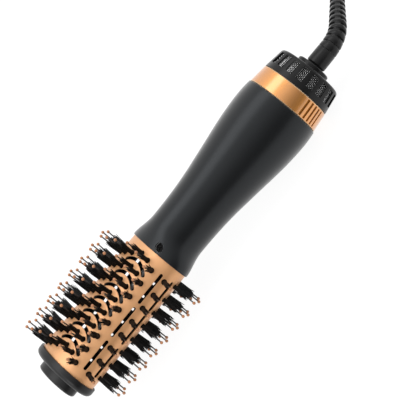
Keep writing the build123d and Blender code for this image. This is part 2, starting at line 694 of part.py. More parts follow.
def make_relief():
    """A smooth stem, then a thin tapering core with flat ribs across the bend."""
    path = FilletPolyline(*RELIEF_POINTS, radius=RELIEF_BEND_R)
    length = path.length

    def section(at):
        return Plane(origin=path.position_at(at / length), z_dir=path.tangent_at(at / length))

    def radius(at):
        return RELIEF_R1 + (RELIEF_R2 - RELIEF_R1) * max(at - RELIEF_STEM, 0) / (length - RELIEF_STEM)

    steps = 9
    core_start = RELIEF_STEM - 1
    stations = [core_start + (length - core_start) * i / steps for i in range(steps + 1)]
    core = loft([section(at) * Circle(radius(at) * RELIEF_CORE_SHARE) for at in stations])
    stem = (section(0) * peg(RELIEF_R1 - RELIEF_COLLAR_STEP, 0, RELIEF_COLLAR)
            + section(0) * peg(RELIEF_R1, RELIEF_COLLAR, RELIEF_STEM))
    half = RELIEF_RIB_LENGTH / 2
    ribs = []
    for i in range(RELIEF_RIBS):
        at = RELIEF_STEM + RELIEF_FIRST_RIB + half + i * RELIEF_RIB_PITCH
        ribs.append(section(at) * peg(radius(at), -half, half))
    body = core.fuse(stem, *ribs)
    print("relief length %.1f mm, bend radius %.1f mm" % (length, RELIEF_BEND_R))
    return body - section(0) * peg(SWIVEL_SPIGOT_R, 0, SWIVEL_SPIGOT_END - SWIVEL_SPIGOT_START)


parts["strain_relief"] = make_relief()


# ------------------------------------------------------------------ laying the brush down
def rest_tilt():
    """The tilt at which the last lower pins and the handle's widest part touch one level."""
    row_angle = radians(FACE_ROW_FIRST_ANGLE + 2 * (FACE_ROW_LAST_ANGLE - FACE_ROW_FIRST_ANGLE) / 6)
    out_z = sin(row_angle) / BARREL_Q / hypot(cos(row_angle) / BARREL_P, sin(row_angle) / BARREL_Q)
    pin_drop = BARREL_Q * sin(row_angle) + PIN_REACH * out_z
    pin_x = BACK_FIRST_X[2] + (STATIONS - 1) * STATION_PITCH
    tilt = 0.0
    for _ in range(20):
        height = max(x * sin(tilt) + r * cos(tilt) for x, r in HANDLE_RADII)
        tilt += (pin_x * sin(tilt) + pin_drop * cos(tilt) - height) / (HANDLE_END - pin_x)
    return degrees(tilt)


TILT = rest_tilt()
ON_CORD = ("strain_relief",)
level = Rot(0, TILT, 0)
brush_box = Compound([level * part for name, part in parts.items() if name not in ON_CORD]).bounding_box()
REST = Pos(-(brush_box.min.X + brush_box.max.X) / 2, -(brush_box.min.Y + brush_box.max.Y) / 2,
           -brush_box.min.Z) * level
parts = {name: REST * part for name, part in parts.items()}


def placed(x, y=0.0, z=0.0):
    """Where a point of the brush frame lies once the brush is laid down."""
    return (REST * Pos(x, y, z)).position


# ------------------------------------------------------------------ cord, on the floor
WAYS = (Vector(1, 0, 0), Vector(0, -1, 0), Vector(-1, 0, 0), Vector(0, 1, 0))    # clockwise from above


def coil_edges():
    """Quarter arcs: in through the lower layer, up over half a turn, out through the upper one."""
    quarter = COIL_PITCH / 4
    outer = COIL_INNER_R + COIL_QUARTERS * quarter
    here = Vector(COIL_CENTRE[0], COIL_CENTRE[1] + outer, COIL_LOW_Z)
    edges = [Line(here - WAYS[0] * CORD_D, here)]
    turn = 0
    for i in range(COIL_QUARTERS, 0, -1):
        there = here + (WAYS[turn % 4] + WAYS[(turn + 1) % 4]) * (COIL_INNER_R + i * quarter)
        edges.append(TangentArc(here, there, tangent=WAYS[turn % 4]))
        here = there
        turn += 1
    rise = Vector(0, 0, COIL_LAYER / 2)
    long_way = sqrt(COIL_INNER_R ** 2 + rise.Z ** 2)
    ahead, across = WAYS[turn % 4], WAYS[(turn + 1) % 4]
    top = here + ahead * long_way + across * COIL_INNER_R + rise
    edges.append(TangentArc(here, top, tangent=ahead))
    here = top - ahead * long_way + across * COIL_INNER_R + rise
    edges.append(TangentArc(top, here, tangent=across * COIL_INNER_R + rise))
    turn += 2
    for i in range(1, COIL_QUARTERS + 1):
        there = here + (WAYS[turn % 4] + WAYS[(turn + 1) % 4]) * (COIL_INNER_R + i * quarter)
        edges.append(TangentArc(here, there, tangent=WAYS[turn % 4]))
        here = there
        turn += 1
    edges.append(Line(here, here + WAYS[0] * COIL_EXIT))
    return edges


def least_gap(edges):
    """The smallest distance between turns, less the cord's own thickness, on sampled points."""
    samples = 24
    points = [edge.position_at(i / samples) for edge in edges[1:-1] for i in range(samples)]
    points = [(p.X, p.Y, p.Z) for p in points]
    apart = samples * 2
    least = min((a[0] - b[0]) ** 2 + (a[1] - b[1]) ** 2 + (a[2] - b[2]) ** 2
                for i, a in enumerate(points) for b in points[i + apart:])
    return sqrt(least) - CORD_D


def make_coil(edges):
    path = Wire([edge.edge() if hasattr(edge, "edge") else edge for edge in edges])
    start = edges[0] @ 0
    print("coil length %.0f mm, least gap between turns %.2f mm" % (path.length, least_gap(edges)))
    return sweep(Plane(origin=start, z_dir=WAYS[0]) * Circle(CORD_D / 2), path=path)


def bend_radii(points):
    """For each corner 0.45 of its shorter run, divided by the tangent of half the turn."""
    radii = []
    for before, corner, after in zip(points, points[1:], points[2:]):
        run_in = corner - before
        run_out = after - corner
        turn = radians(run_in.get_angle(run_out))
        radii.append(0.45 * min(run_in.length, run_out.length) / tan(turn / 2))
    return radii


def make_cord(start, end):
    points = [Vector(*p) for p in (start, *CORD_ROUTE, end)]
    radii = bend_radii(points)
    path = FilletPolyline(*points, radius=radii)
    tube = sweep(Plane(origin=start, z_dir=points[1] - points[0]) * Circle(CORD_D / 2), path=path)
    section = pi * CORD_D ** 2 / 4
    print("cord runs", [round((b - a).length, 1) for a, b in zip(points, points[1:])])
    print("cord radii", [round(r, 1) for r in radii])
    print("cord tube length %.1f mm, volume / (section x length) %.4f"
          % (path.length, tube.volume / (section * path.length)))
    return tube


def make_tie():
    """A flat strap round both layers, on the side away from the cord's ends."""
    inner_r = COIL_INNER_R - CORD_D / 2 - TIE_SLACK
    outer_r = COIL_INNER_R + (COIL_QUARTERS - 1) * COIL_PITCH / 4 + CORD_D / 2 + TIE_SLACK
    low = COIL_LOW_Z - CORD_D / 2 - TIE_SLACK_UNDER
    high = COIL_LOW_Z + COIL_LAYER + CORD_D / 2 + TIE_SLACK
    width = outer_r - inner_r
    height = high - low
    both = 2 * TIE_THICKNESS
    strap = (RectangleRounded(width + both, height + both, TIE_ROUND + TIE_THICKNESS)
             - RectangleRounded(width, height, TIE_ROUND))
    place = Plane(origin=(COIL_CENTRE[0] - TIE_WIDTH / 2, COIL_CENTRE[1] - (inner_r + outer_r) / 2,
                          (low + high) / 2), x_dir=(0, 1, 0), z_dir=(1, 0, 0))
    return extrude(place * strap, amount=TIE_WIDTH)


def make_plug(mouth):
    """A rounded two-pin plug along +X: a tapering neck and a body that rests on the floor."""
    back = Plane(origin=mouth, x_dir=(0, 1, 0), z_dir=(1, 0, 0))
    shoulder = back.offset(PLUG_NECK_LENGTH)
    face = back.offset(PLUG_FACE)
    neck = loft([back * Circle(PLUG_MOUTH_R), shoulder * Circle(PLUG_NECK_R)])
    body = extrude(shoulder * RectangleRounded(PLUG_BODY_WIDTH, 2 * mouth.Z, PLUG_BODY_ROUND),
                   amount=PLUG_BODY_LENGTH)
    body = fillet(body.faces().sort_by(Axis.X)[0].edges(), PLUG_END_ROUND)
    pins = [extrude(face * Pos(side * PLUG_PIN_SPACING / 2, 0) * Circle(PLUG_PIN_R), amount=PLUG_PIN_LENGTH)
            for side in (-1, 1)]
    return neck + body, Compound(pins)


PLUG_FACE = PLUG_NECK_LENGTH + PLUG_BODY_LENGTH
coil = coil_edges()
parts["cord_coil"] = make_coil(coil)
parts["cord_tube"] = make_cord(placed(*RELIEF_POINTS[-1]), coil[0] @ 0)
parts["coil_tie"] = make_tie()
parts["plug_body"], parts["plug_pins"] = make_plug(coil[-1] @ 1)

# ------------------------------------------------------------------ writing
for name, part in parts.items():
    export_step(part, f"parts/{name}.step")

print("nodes", len(parts), "tilt %.5f degrees" % TILT)
key_points = {"tip face": placed(TIP_FACE_X),
              "ring": placed(RING_START),
              "motor": placed(MOTOR_START),
              "swivel": placed(BOSS_END),
              "relief corner": placed(*RELIEF_POINTS[1]),
              "relief end": placed(*RELIEF_POINTS[-1]),
              "coil start": coil[0] @ 0,
              "plug face": (coil[-1] @ 1) + WAYS[0] * PLUG_FACE}
for label, at in key_points.items():
    print(label, tuple(round(v, 5) for v in at))
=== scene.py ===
"""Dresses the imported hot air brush: barrel, tufts, tip, handle, selector, vents, cord and studio."""

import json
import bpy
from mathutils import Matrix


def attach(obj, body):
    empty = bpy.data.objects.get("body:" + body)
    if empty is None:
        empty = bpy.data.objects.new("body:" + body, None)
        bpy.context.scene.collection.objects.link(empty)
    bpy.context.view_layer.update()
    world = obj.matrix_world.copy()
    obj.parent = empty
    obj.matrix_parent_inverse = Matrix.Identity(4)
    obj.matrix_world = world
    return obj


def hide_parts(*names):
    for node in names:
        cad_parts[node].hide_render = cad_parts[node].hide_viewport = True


bl_info = {
    "name": "Hot Air Brush",
    "version": (1, 0, 0),
    "blender": (4, 5, 0),
    "location": "3D View > Sidebar > Hot Air Brush",
    "description": "Builds the visible pieces of a hot air brush round its packed frame",
    "category": "Add Mesh",
}

import bmesh
import bpy
import numpy as np
from bpy.props import FloatProperty, FloatVectorProperty, IntProperty, PointerProperty
from mathutils import Matrix, Vector
from mathutils.geometry import delaunay_2d_cdt

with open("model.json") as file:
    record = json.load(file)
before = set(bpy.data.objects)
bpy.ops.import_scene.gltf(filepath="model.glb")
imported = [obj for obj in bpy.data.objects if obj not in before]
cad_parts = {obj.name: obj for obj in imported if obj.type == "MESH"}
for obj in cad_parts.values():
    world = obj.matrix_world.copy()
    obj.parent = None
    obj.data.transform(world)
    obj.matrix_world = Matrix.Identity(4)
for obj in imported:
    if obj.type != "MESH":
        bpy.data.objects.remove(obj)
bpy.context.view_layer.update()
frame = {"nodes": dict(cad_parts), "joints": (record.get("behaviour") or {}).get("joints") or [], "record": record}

MM = 0.001
PI = np.pi

# ---------------------------------------------------------------- sizes in millimetres, brush frame
# X runs along the brush from the rim's edge to the cord, -Y to the barrel's narrow edge, Z to its front.
# barrel: half axes p and q of its oval, rows of tuft holes, long slots and crescents, rows' pads and rails
BARREL_LENGTH = 108.0
BARREL_P = 29.25
BARREL_Q = 19.5
BARREL_WALL = 1.0
BARREL_SEAM = np.radians(39.0)
BARREL_STEPS = 2880
BARREL_GRID = (105, 73)
STATIONS = 8
STATION_PITCH = 12.5
TUFT_HOLE_R = 2.2
NOSE_ROW_ANGLE = 17.0
FACE_ROW_ANGLES = np.linspace(50.0, 146.9, 7)
FRONT_FIRST_X = (8.9, 12.6, 13.9, 9.4, 6.2, 3.6, 6.0)
BACK_FIRST_X = (8.0, 4.5, 5.6, 5.6, 9.6, 13.6, 12.6)
NOSE_FIRST_X = (8.2, 10.1)
TAIL_FIRST_X = (8.3, 8.3)
LONG_SLOT_ANGLES = (0.0, 30.0, 180.0, 210.0)
LONG_SLOTS = 3
LONG_SLOT_FIRST_X = 22.5
LONG_SLOT_PITCH = 31.5
LONG_SLOT_LENGTH = 27.6
LONG_SLOT_WIDTH = 2.5
CRESCENT = ((-5.5, -16.5), (0.0, -2.6), (-3.9, 5.6))
CRESCENT_WIDTH = 2.8
CRESCENT_APEX_X = 19.95
CRESCENT_BACK = ((-5.5, -15.5), (0.0, -2.6), (-3.5, 5.6))
CRESCENT_BACK_WIDTH = 2.0
CRESCENT_BACK_APEX_X = 12.5
BARREL_LIP = 0.22
BARREL_CLEAR = 0.5
PAD_TOP = -1.3
PAD_LOW = -2.5
PAD_R = 2.7
RAIL_OFFSET = 2.0
RAIL_R = 0.6

# tufts: strands root in a ring round their pin, then spread, lean and end unevenly
TUFT_SEED = 7
OPEN_ROW = "bristles_front_1"
OPEN_FLARE = 1.85
GOLDEN_ANGLE = 2.39996
ROOT_RISE = 0.4
ROOT_R1 = 0.7
ROOT_R2 = 1.5
ROOT_STRAY = 0.07
REACH_SHARES = (0.82, 1.06)
REACH_SLOPE = 0.05
STRAND_LEAN = 0.38
TUFT_LEAN = 0.2
FLARE_POWER = 1.6
STRAND_TAPER = (1, 1, 1, 0.95, 0.7)
PIN_TAPER = (1.25, 1.1, 1.0, 0.9)
PIN_LEAN = 0.22
PIN_BENDS = (4.0, 12.0)
BALL_ANGLES = np.radians([12, 38, 64, 90, 116, 142, 168])

# tip: the rim with its spigot in the barrel, and the smaller plug
RIM_P = 31.1
RIM_Q = 21.4
RIM_LENGTH = 7.5
RIM_FACE_INSET = 11.0
RIM_FACE_START = 5.0
RIM_FACE_ROUND = 4.0
RIM_EDGE_ROUND = 0.35
RIM_FLOOR_X = -5.0
SPIGOT_LENGTH = 0.8
SPIGOT_WALL = 2.0
TIP_P = 20.25
TIP_Q = 13.5
TIP_FACE_INSET = 6.0
TIP_FACE_ROUND = 2.0
TIP_WALL = 3.2
TIP_FLOOR = 2.0
TIP_FACE_X = -14.94

# handle: an oval flange that flares into a round neck, then radii by their x
FLANGE_P = 30.4
FLANGE_Q = 20.55
FLARE_LENGTH = 21.5
NECK_R = 22.8
HANDLE_END = 252.0
HANDLE_RADII = ((145.5, 23.1), (157.5, 23.7), (169.5, 24.75), (181.5, 26.2), (193.5, 27.7), (205.5, 29.3),
                (217.5, 30.7), (229.5, 31.6), (240.0, 31.9), (247.0, 31.6), (HANDLE_END, 31.1))
HANDLE_WALL = 2.2
HANDLE_EDGE = 0.5
HANDLE_SCALE = 25.0
HANDLE_GRID = (121, 90)
HANDLE_LIP = 0.35
HANDLE_CLEAR = 0.7
SCREW_X = 112.9
SCREW_ANGLE = 62.0
SCREW_RECESS_R = 3.45

# selector ring: angles in degrees; stations across a groove in half widths, with their shares of its depth
RING_START = 252.3
RING_END = 267.9
RING_R1 = 30.5
RING_R2 = 28.95
RING_INNER_R = 26.65
RING_BEVEL = 0.6
RING_EDGE_ROUND = 0.1
RING_STEP = 2.5
RIB_STATIONS = (-1.5, 0, 1.5)
GROOVES = 5
GROOVE_STEP = 8.65
GROOVE_WIDTH = 1.7
GROOVE_DEPTH = 1.1
GROOVE_START = 253.4
GROOVE_MIDDLE = 260.1
GROOVE_END = 266.8
GROOVE_RAMP = 0.3
GROOVE_STATIONS = (0, 0.4, 0.8, 1.1, 1.35)
GROOVE_SHARES = (1, 0.96, 0.92, 0.12, 0)
GROOVE_MARGIN = 1.6
# faces cut deeper than this share of a groove's depth take a darker gold: painted shade in the grooves
GROOVE_SHADE_SHARE = 0.45

# vent cap and cord boss
CAP_START = 268.2
CAP_SHOULDER = 283.5
CAP_END = 286.1
CAP_R1 = 28.9
CAP_R2 = 26.65
CAP_ROUND = 2.6
CAP_EDGE_ROUND = 0.3
CAP_INNER_ROUND = 0.05
CAP_WALL = 1.8
CAP_LIP = 0.25
CAP_CLEAR = 0.5
CAP_COLUMNS = 109
VENTS = 18
VENT_LENGTH = 10.5
VENT_WIDTH = 5.8
VENT_ROUND = 0.8
VENT_X = 278.2
BOSS_NECK_START = 274.0
BOSS_NECK_INNER_R = 10.4
BOSS_NECK_R = 11.8
BOSS_R = 13.5
BOSS_END = 290.6
BOSS_BEVEL = 0.7
BOSS_EDGE_ROUND = 0.15
BOSS_MOUTH_ROUND = 0.5
BOSS_BORE_R = 7.06

# woven screen
SCREEN_INSET = 0.3
SCREEN_GAP = 0.45
SCREEN_HOOPS = 15
SCREEN_WIRES = 128
SCREEN_WAVE = 0.24
SCREEN_WIRE_R = 0.19
SCREEN_HOOP_R = 0.27

# strain relief: its gaps open up over the first ribs, and webs join the ribs in turn
RELIEF_START = 290.9
RELIEF_CORNER = 318.8
RELIEF_EASE = 13.2
RELIEF_WAY = np.array((0.62, 0.77, -0.11)) / np.linalg.norm((0.62, 0.77, -0.11))
RELIEF_FAR = 44.0
RELIEF_R1 = 7.95
RELIEF_R2 = 5.7
RELIEF_FOOT = ((0.0, 6.8), (0.3, 7.15), (1.2, 7.25), (1.4, 7.5), (1.8, RELIEF_R1))
RELIEF_STEM = 15.0
RELIEF_RIBS = 10
RELIEF_RIB_PITCH = 5.4
RELIEF_RIB_LENGTH = 2.9
RELIEF_CORE = 0.66
RELIEF_OPENING = ((0, 4), (0.15, 1))
RELIEF_FLOOR = 0.7
RELIEF_WEB = 0.93
RELIEF_WEB_ANGLE = np.radians(124.0)
RELIEF_WEB_EDGE = 0.86
RELIEF_WEB_FADE = 0.1
RELIEF_LIP = 0.3
RELIEF_LIP_DROP = 0.25
RELIEF_TIP = ((0.6, 0.0), (0.1, 0.5), (0.0, 1.5))

# ---------------------------------------------------------------- sizes in millimetres, row frame
# the coil, the tie and the plug lie on the floor
COIL_X = 292.0
COIL_Y = 10.0
COIL_LOW_Z = 4.8
COIL_LAYER = 7.5
COIL_INNER_R = 26.0
COIL_QUARTERS = 13
COIL_PITCH = 7.8
COIL_OUTSET = 1.0195
COIL_STRAIGHT = 6.0
COIL_EXIT = 24.0
TIE_WIDTH = 10.0
TIE_THICKNESS = 1.1
TIE_NEAR = 21.7
TIE_FAR = 53.7
TIE_LOW = 1.1
TIE_HIGH = 16.6
TIE_ROUND = 3.0
TIE_EDGE_ROUND = 0.4
TIE_LAP_Y = -30.0
TIE_LAP_LENGTH = 17.0
TIE_LAP_HEIGHTS = (TIE_HIGH + 1.0, TIE_HIGH + 1.9)
PLUG_MOUTH = (319.9, 61.35, 12.3)
PLUG_NECK_LENGTH = 14.0
PLUG_BODY_LENGTH = 30.0
PLUG_END_ROUND = 3.0
PLUG_STATIONS = (0, 13, 17, 21, 26, 34, 44)
PLUG_HALF_WIDTHS = (4.6, 7.0, 9.5, 12.8, 14.7, 15.0, 15.0)
PLUG_HALF_HEIGHTS = (4.6, 7.0, 9.0, 11.2, 12.2, 12.3, 12.3)
PLUG_SQUARENESS = (2.0, 2.0, 2.2, 2.5, 2.8, 3.0, 3.0)
PLUG_RINGS = (1.5, 13.0)
PLUG_RING_PITCH = 3.0
PLUG_RING_DEPTH = 0.45
PLUG_RIDGES = (22, 38)
PLUG_RIDGE_PITCH = 2.0
PLUG_RIDGE_DEPTH = 0.35
PLUG_PIN_SPACING = 19.0
PLUG_PIN_R = 2.4
PLUG_PIN_SLEEVE = 10.0
PLUG_PIN_BARE_R = 2.2
PLUG_PIN_SHANK = 17.2
PLUG_PIN_END = 1.8
PLUG_PIN_END_DROP = 1.6

# the cord's route from the strain relief to the coil, in metres
CORD_EXIT = (0.2047757, 0.034061, 0.0212036)
CORD_ROUTE = ((0.21433, 0.04606, 0.01895), (0.22925, 0.05613, 0.0146), (0.2463, 0.06135, 0.0099),
              (0.266, 0.06135, 0.0048), (0.2852, 0.06135, 0.0048))
CORD_DIAMETER = 0.0068

# the photograph's camera: its angle above the brush's side, its distance, the place in the brush frame
# that it looks at, its lens and sensor in millimetres, and the picture's turn
CAMERA_ANGLE = np.radians(46.5)
CAMERA_DISTANCE = 1.17
CAMERA_AIM = (159.1, -2.9)
CAMERA_LENS = 140.4
CAMERA_SENSOR = 36.0
CAMERA_REACH = 50.0
PICTURE_ALONG = (0.63382, 0.77348)

# the stage: places and sizes in metres, greys as shares of white. The room's light goes by its direction's
# Y, which points away from the viewer
FLOOR_HALF = 8.0
FLOOR_GREY = 0.8
FLOOR_ROUGH = 0.9
FLOOR_LIGHT = 1.06
FLOOR_LIGHT_DROP = 0.9
OVERHEAD_PLACE = (0.03, 0.20, 0.92)
OVERHEAD_AIM = (0.03, 0, 0)
OVERHEAD_SIZE = (2.0, 0.46)
TIP_BOX_PLACE = (-0.62, -0.34, 0.44)
TIP_BOX_AIM = (-0.1, 0, 0.04)
TIP_BOX_SIZE = (0.35, 0.35)
ROOM_NEAR_Y = -0.95
ROOM_FAR_Y = 1.0
ROOM_MIDDLE = 0.31
ROOM_GREYS = (0.5, 0.78, 1.0)
MIRRORED_DIM = 0.12
MIRRORED_FULL_Y = -0.4


# ---------------------------------------------------------------- settings
class BrushTuftSettings(bpy.types.PropertyGroup):
    """Sizes of the bristles and the pins"""
    strands: IntProperty(name="Strands", description="Nylon bristles round each pin", default=46, min=6,
                         max=90)
    strand_width: FloatProperty(name="Strand width", description="Thickness of one bristle",
                                default=0.00044, min=0.0001, max=0.001, unit="LENGTH")
    strand_reach: FloatProperty(name="Strand reach", description="How far bristles stand out of the barrel",
                                default=0.0132, min=0.004, max=0.02, unit="LENGTH")
    flare: FloatProperty(name="Flare", description="How much wider a tuft is at its ends than at its root",
                         default=1.25, min=1.0, max=3.0)
    pin_reach: FloatProperty(name="Pin reach", description="How far the ball-tipped pins stand out",
                             default=0.021, min=0.01, max=0.03, unit="LENGTH")
    pin_width: FloatProperty(name="Pin width", description="Thickness of a pin",
                             default=0.0011, min=0.0005, max=0.003, unit="LENGTH")
    ball_width: FloatProperty(name="Ball width", description="Diameter of the ball on a pin",
                              default=0.0025, min=0.001, max=0.005, unit="LENGTH")


class BrushFinishSettings(bpy.types.PropertyGroup):
    """Colours of the brush and its cord"""
    rose_gold: FloatVectorProperty(name="Rose gold", description="Coated barrel", subtype="COLOR",
                                   default=(0.78, 0.385, 0.152), min=0, max=1)
    ring_gold: FloatVectorProperty(name="Ring gold", description="Selector ring", subtype="COLOR",
                                   default=(0.74, 0.295, 0.045), min=0, max=1)
    handle_black: FloatVectorProperty(name="Handle", description="Soft-touch handle", subtype="COLOR",
                                      default=(0.0045, 0.005, 0.0055), min=0, max=1)
    shell_black: FloatVectorProperty(name="Tip", description="Moulded tip parts", subtype="COLOR",
                                     default=(0.0055, 0.0055, 0.0058), min=0, max=1)
    charcoal: FloatVectorProperty(name="Cap", description="Vent cap and cord boss", subtype="COLOR",
                                  default=(0.007, 0.007, 0.0073), min=0, max=1)
    bristle: FloatVectorProperty(name="Bristles", description="Black nylon", subtype="COLOR",
                                 default=(0.004, 0.004, 0.004), min=0, max=1)
    pin: FloatVectorProperty(name="Pins", description="Nylon pins", subtype="COLOR",
                             default=(0.035, 0.03, 0.028), min=0, max=1)
    ball: FloatVectorProperty(name="Ball tips", description="Heat-proof balls on the pins", subtype="COLOR",
                              default=(0.50, 0.22, 0.10), min=0, max=1)
    cord: FloatVectorProperty(name="Cord", description="Cord, relief and plug", subtype="COLOR",
                              default=(0.007, 0.007, 0.0073), min=0, max=1)


class BrushStageSettings(bpy.types.PropertyGroup):
    """Light and shade round the brush"""
    overhead: FloatProperty(name="Overhead light", description="Power of the soft box above",
                            default=5.2, min=0)
    tip_side: FloatProperty(name="Tip light", description="Power of the soft box at the tip's side",
                            default=0.9, min=0)
    world: FloatProperty(name="Room light", description="Strength of the room's own light", default=1.0,
                         min=0)
    shadow: FloatProperty(name="Shadow", description="How much of the floor's own shade the camera sees",
                          default=0.15, min=0, max=1)


# ---------------------------------------------------------------- the brush's place
selector_joint = next(j for j in frame["joints"] if j["name"] == "selector_turn")
AXIS = np.array(selector_joint["axis"], float)
SIDE = np.array((0.0, 1.0, 0.0))
UP = np.cross(AXIS, SIDE)
ORIGIN = np.array(selector_joint["pos_m"], float) - AXIS * RING_START * MM


def directions(vectors):
    """Directions of the brush frame in the row frame."""
    vectors = np.asarray(vectors, float)
    return vectors[..., :1] * AXIS + vectors[..., 1:2] * SIDE + vectors[..., 2:3] * UP


def placed(points):
    """Points of the brush frame in millimetres, laid down in the row frame in metres."""
    return ORIGIN + MM * directions(points)


def seat(angle):
    """The barrel's face at its own angle: a point, the way round it and the way out of it."""
    a = np.radians(angle)
    out = np.array([0, -np.cos(a) / BARREL_P, np.sin(a) / BARREL_Q])
    out /= np.linalg.norm(out)
    return np.array([0, -BARREL_P * np.cos(a), BARREL_Q * np.sin(a)]), np.array([0, out[2], -out[1]]), out


# ---------------------------------------------------------------- meshes
def grid_quads(rows, columns):
    """Quads between neighbouring rows of a grid of points whose last column joins the first."""
    row = np.arange(rows - 1)[:, None]
    column = np.arange(columns)[None]
    a = row * columns + column
    b = row * columns + (column + 1) % columns
    return np.stack([a, b, b + columns, a + columns], -1).reshape(-1, 4)


def end_fans(rows, columns, low, high):
    """Triangles that close a grid's first and last rows on to two more points."""
    side = np.arange(columns)
    after = (side + 1) % columns
    last = (rows - 1) * columns
    return np.concatenate([np.stack([after, side, np.full(columns, low)], 1),
                           np.stack([last + side, last + after, np.full(columns, high)], 1)])


def enclosed(points, polygons):
    """Six times the volume that the faces enclose: negative where they point inwards."""
    total = 0.0
    for faces in polygons:
        first = points[faces[:, 0]]
        for i in range(1, faces.shape[1] - 1):
            total += np.einsum("ij,ij->", first, np.cross(points[faces[:, i]], points[faces[:, i + 1]]))
    return total


def add_piece(name, points, polygons, materials, body="handle", stands_for=(), sharp=40.0,
              face_materials=None, normals=None, merge=False):
    """A closed mesh in metres, its faces turned outwards, that rides on a body and stands for CAD nodes."""
    points = np.asarray(points, float).reshape(-1, 3)
    polygons = [np.asarray(faces) for faces in polygons if len(faces)]
    if enclosed(points - points.mean(0), polygons) < 0:
        polygons = [faces[:, ::-1] for faces in polygons]
    loops = np.concatenate([faces.ravel() for faces in polygons])
    sizes = np.concatenate([np.full(len(faces), faces.shape[1]) for faces in polygons])
    mesh = bpy.data.meshes.new(name)
    mesh.vertices.add(len(points))
    mesh.vertices.foreach_set("co", points.astype(np.float32).ravel())
    mesh.loops.add(len(loops))
    mesh.loops.foreach_set("vertex_index", loops.astype(np.int32))
    mesh.polygons.add(len(sizes))
    mesh.polygons.foreach_set("loop_start", np.concatenate([[0], np.cumsum(sizes)[:-1]]).astype(np.int32))
    mesh.polygons.foreach_set("use_smooth", np.ones(len(sizes), bool))
    for material in materials:
        mesh.materials.append(material)
    if face_materials is not None:
        mesh.polygons.foreach_set("material_index", np.asarray(face_materials, np.int32))
    mesh.update(calc_edges=True)
    if merge:
        solid = bmesh.new()
        solid.from_mesh(mesh)
        bmesh.ops.remove_doubles(solid, verts=solid.verts, dist=1e-7)
        solid.to_mesh(mesh)
        solid.free()
    if normals is None:
        mesh.set_sharp_from_angle(angle=np.radians(sharp))
    else:
        mesh.normals_split_custom_set_from_vertices(normals.tolist())
    piece = bpy.data.objects.new(name, mesh)
    bpy.context.scene.collection.objects.link(piece)
    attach(piece, body)
    if stands_for:
        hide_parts(*stands_for)
    return piece


def stacked(*groups):
    """Groups of (points, polygon arrays, material number) put together as one mesh."""
    points, polygons, numbers = [], [], []
    start = 0
    for group_points, group_polygons, number in groups:
        group_points = np.asarray(group_points).reshape(-1, 3)
        for faces in group_polygons:
            polygons.append(np.asarray(faces) + start)
            numbers.append(np.full(len(faces), number))
        points.append(group_points)
        start += len(group_points)
    return np.concatenate(points), polygons, np.concatenate(numbers)


def rounded(corners, steps=6):
    """A profile from rows (a, b, radius): each corner with a radius becomes an arc that touches
    both of its sides."""
    corners = np.asarray(corners, float)
    points = [corners[:1, :2]]
    for before, here, after in zip(corners, corners[1:], corners[2:]):
        if here[2] == 0:
            points.append(here[None, :2])
            continue
        back = before[:2] - here[:2]
        ahead = after[:2] - here[:2]
        back /= np.linalg.norm(back)
        ahead /= np.linalg.norm(ahead)
        half = np.arccos(np.clip(back @ ahead, -1, 1)) / 2
        centre = here[:2] + (back + ahead) / np.linalg.norm(back + ahead) * here[2] / np.sin(half)
        first = here[:2] + back * here[2] / np.tan(half) - centre
        last = here[:2] + ahead * here[2] / np.tan(half) - centre
        sweep = PI - 2 * half
        t = np.linspace(0, 1, steps + 1)[:, None]
        points.append(centre + (np.sin((1 - t) * sweep) * first + np.sin(t * sweep) * last) / np.sin(sweep))
    points.append(corners[-1:, :2])
    return np.concatenate(points)


def turned(profile, steps=96):
    """A closed (x, radius) profile swept round the axis: points (x, r cos a, r sin a)."""
    a = 2 * PI * np.arange(steps) / steps
    x, r = profile[:, 0, None], profile[:, 1, None]
    points = np.stack([x + 0 * a, r * np.cos(a), r * np.sin(a)], -1)
    return placed(points).reshape(-1, 3), grid_quads(len(profile), steps)


def oval_turned(profile, p, q, steps=160):
    """An (x, inset, share) profile carried round an oval of half axes p and q:
    points (x, -(p - inset) share cos a, (q - inset) share sin a)."""
    a = 2 * PI * np.arange(steps) / steps
    x, inset, share = profile[:, :, None].transpose(1, 0, 2)
    points = np.stack([x + 0 * a, -(p - inset) * share * np.cos(a), (q - inset) * share * np.sin(a)], -1)
    return placed(points).reshape(-1, 3), grid_quads(len(profile), steps)


def tubes(centres, radii, sides):
    """Round closed tubes along lines of centres (n, rings, 3) with radii (n, rings), in the centres' unit.
    Each ring lies across the line's direction there: centre + r (cos a u + sin a v)."""
    along = np.gradient(centres, axis=1)
    along /= np.linalg.norm(along, axis=2, keepdims=True)
    aside = np.where(np.abs(along[..., :1]) > 0.7, np.array([0.0, 1.0, 0.0]), np.array([1.0, 0.0, 0.0]))
    u = np.cross(along, aside)
    u /= np.linalg.norm(u, axis=2, keepdims=True)
    v = np.cross(along, u)
    a = 2 * PI * np.arange(sides) / sides
    ring = np.cos(a)[:, None] * u[:, :, None] + np.sin(a)[:, None] * v[:, :, None]
    shells = centres[:, :, None] + radii[:, :, None, None] * ring
    count, rings = centres.shape[:2]
    points = np.concatenate([shells.reshape(count, -1, 3), centres[:, :1], centres[:, -1:]], 1)
    start = (np.arange(count) * (rings * sides + 2))[:, None, None]
    quads = (grid_quads(rings, sides)[None] + start).reshape(-1, 4)
    fans = (end_fans(rings, sides, rings * sides, rings * sides + 1)[None] + start).reshape(-1, 3)
    return points.reshape(-1, 3), [quads, fans]


# ---------------------------------------------------------------- walls with holes
def moved_outline(outline, distance):
    """A counter-clockwise outline moved outwards along the normal of its neighbours."""
    way = np.roll(outline, -1, 0) - np.roll(outline, 1, 0)
    way /= np.linalg.norm(way, axis=1, keepdims=True)
    return outline + distance * np.stack([way[:, 1], -way[:, 0]], 1)


def round_outline(u, v, radius_u, radius_v, count=24):
    """Points of a round or oval hole at (u, v)."""
    a = 2 * PI * np.arange(count) / count
    return np.stack([u + radius_u * np.cos(a), v + radius_v * np.sin(a)], 1)


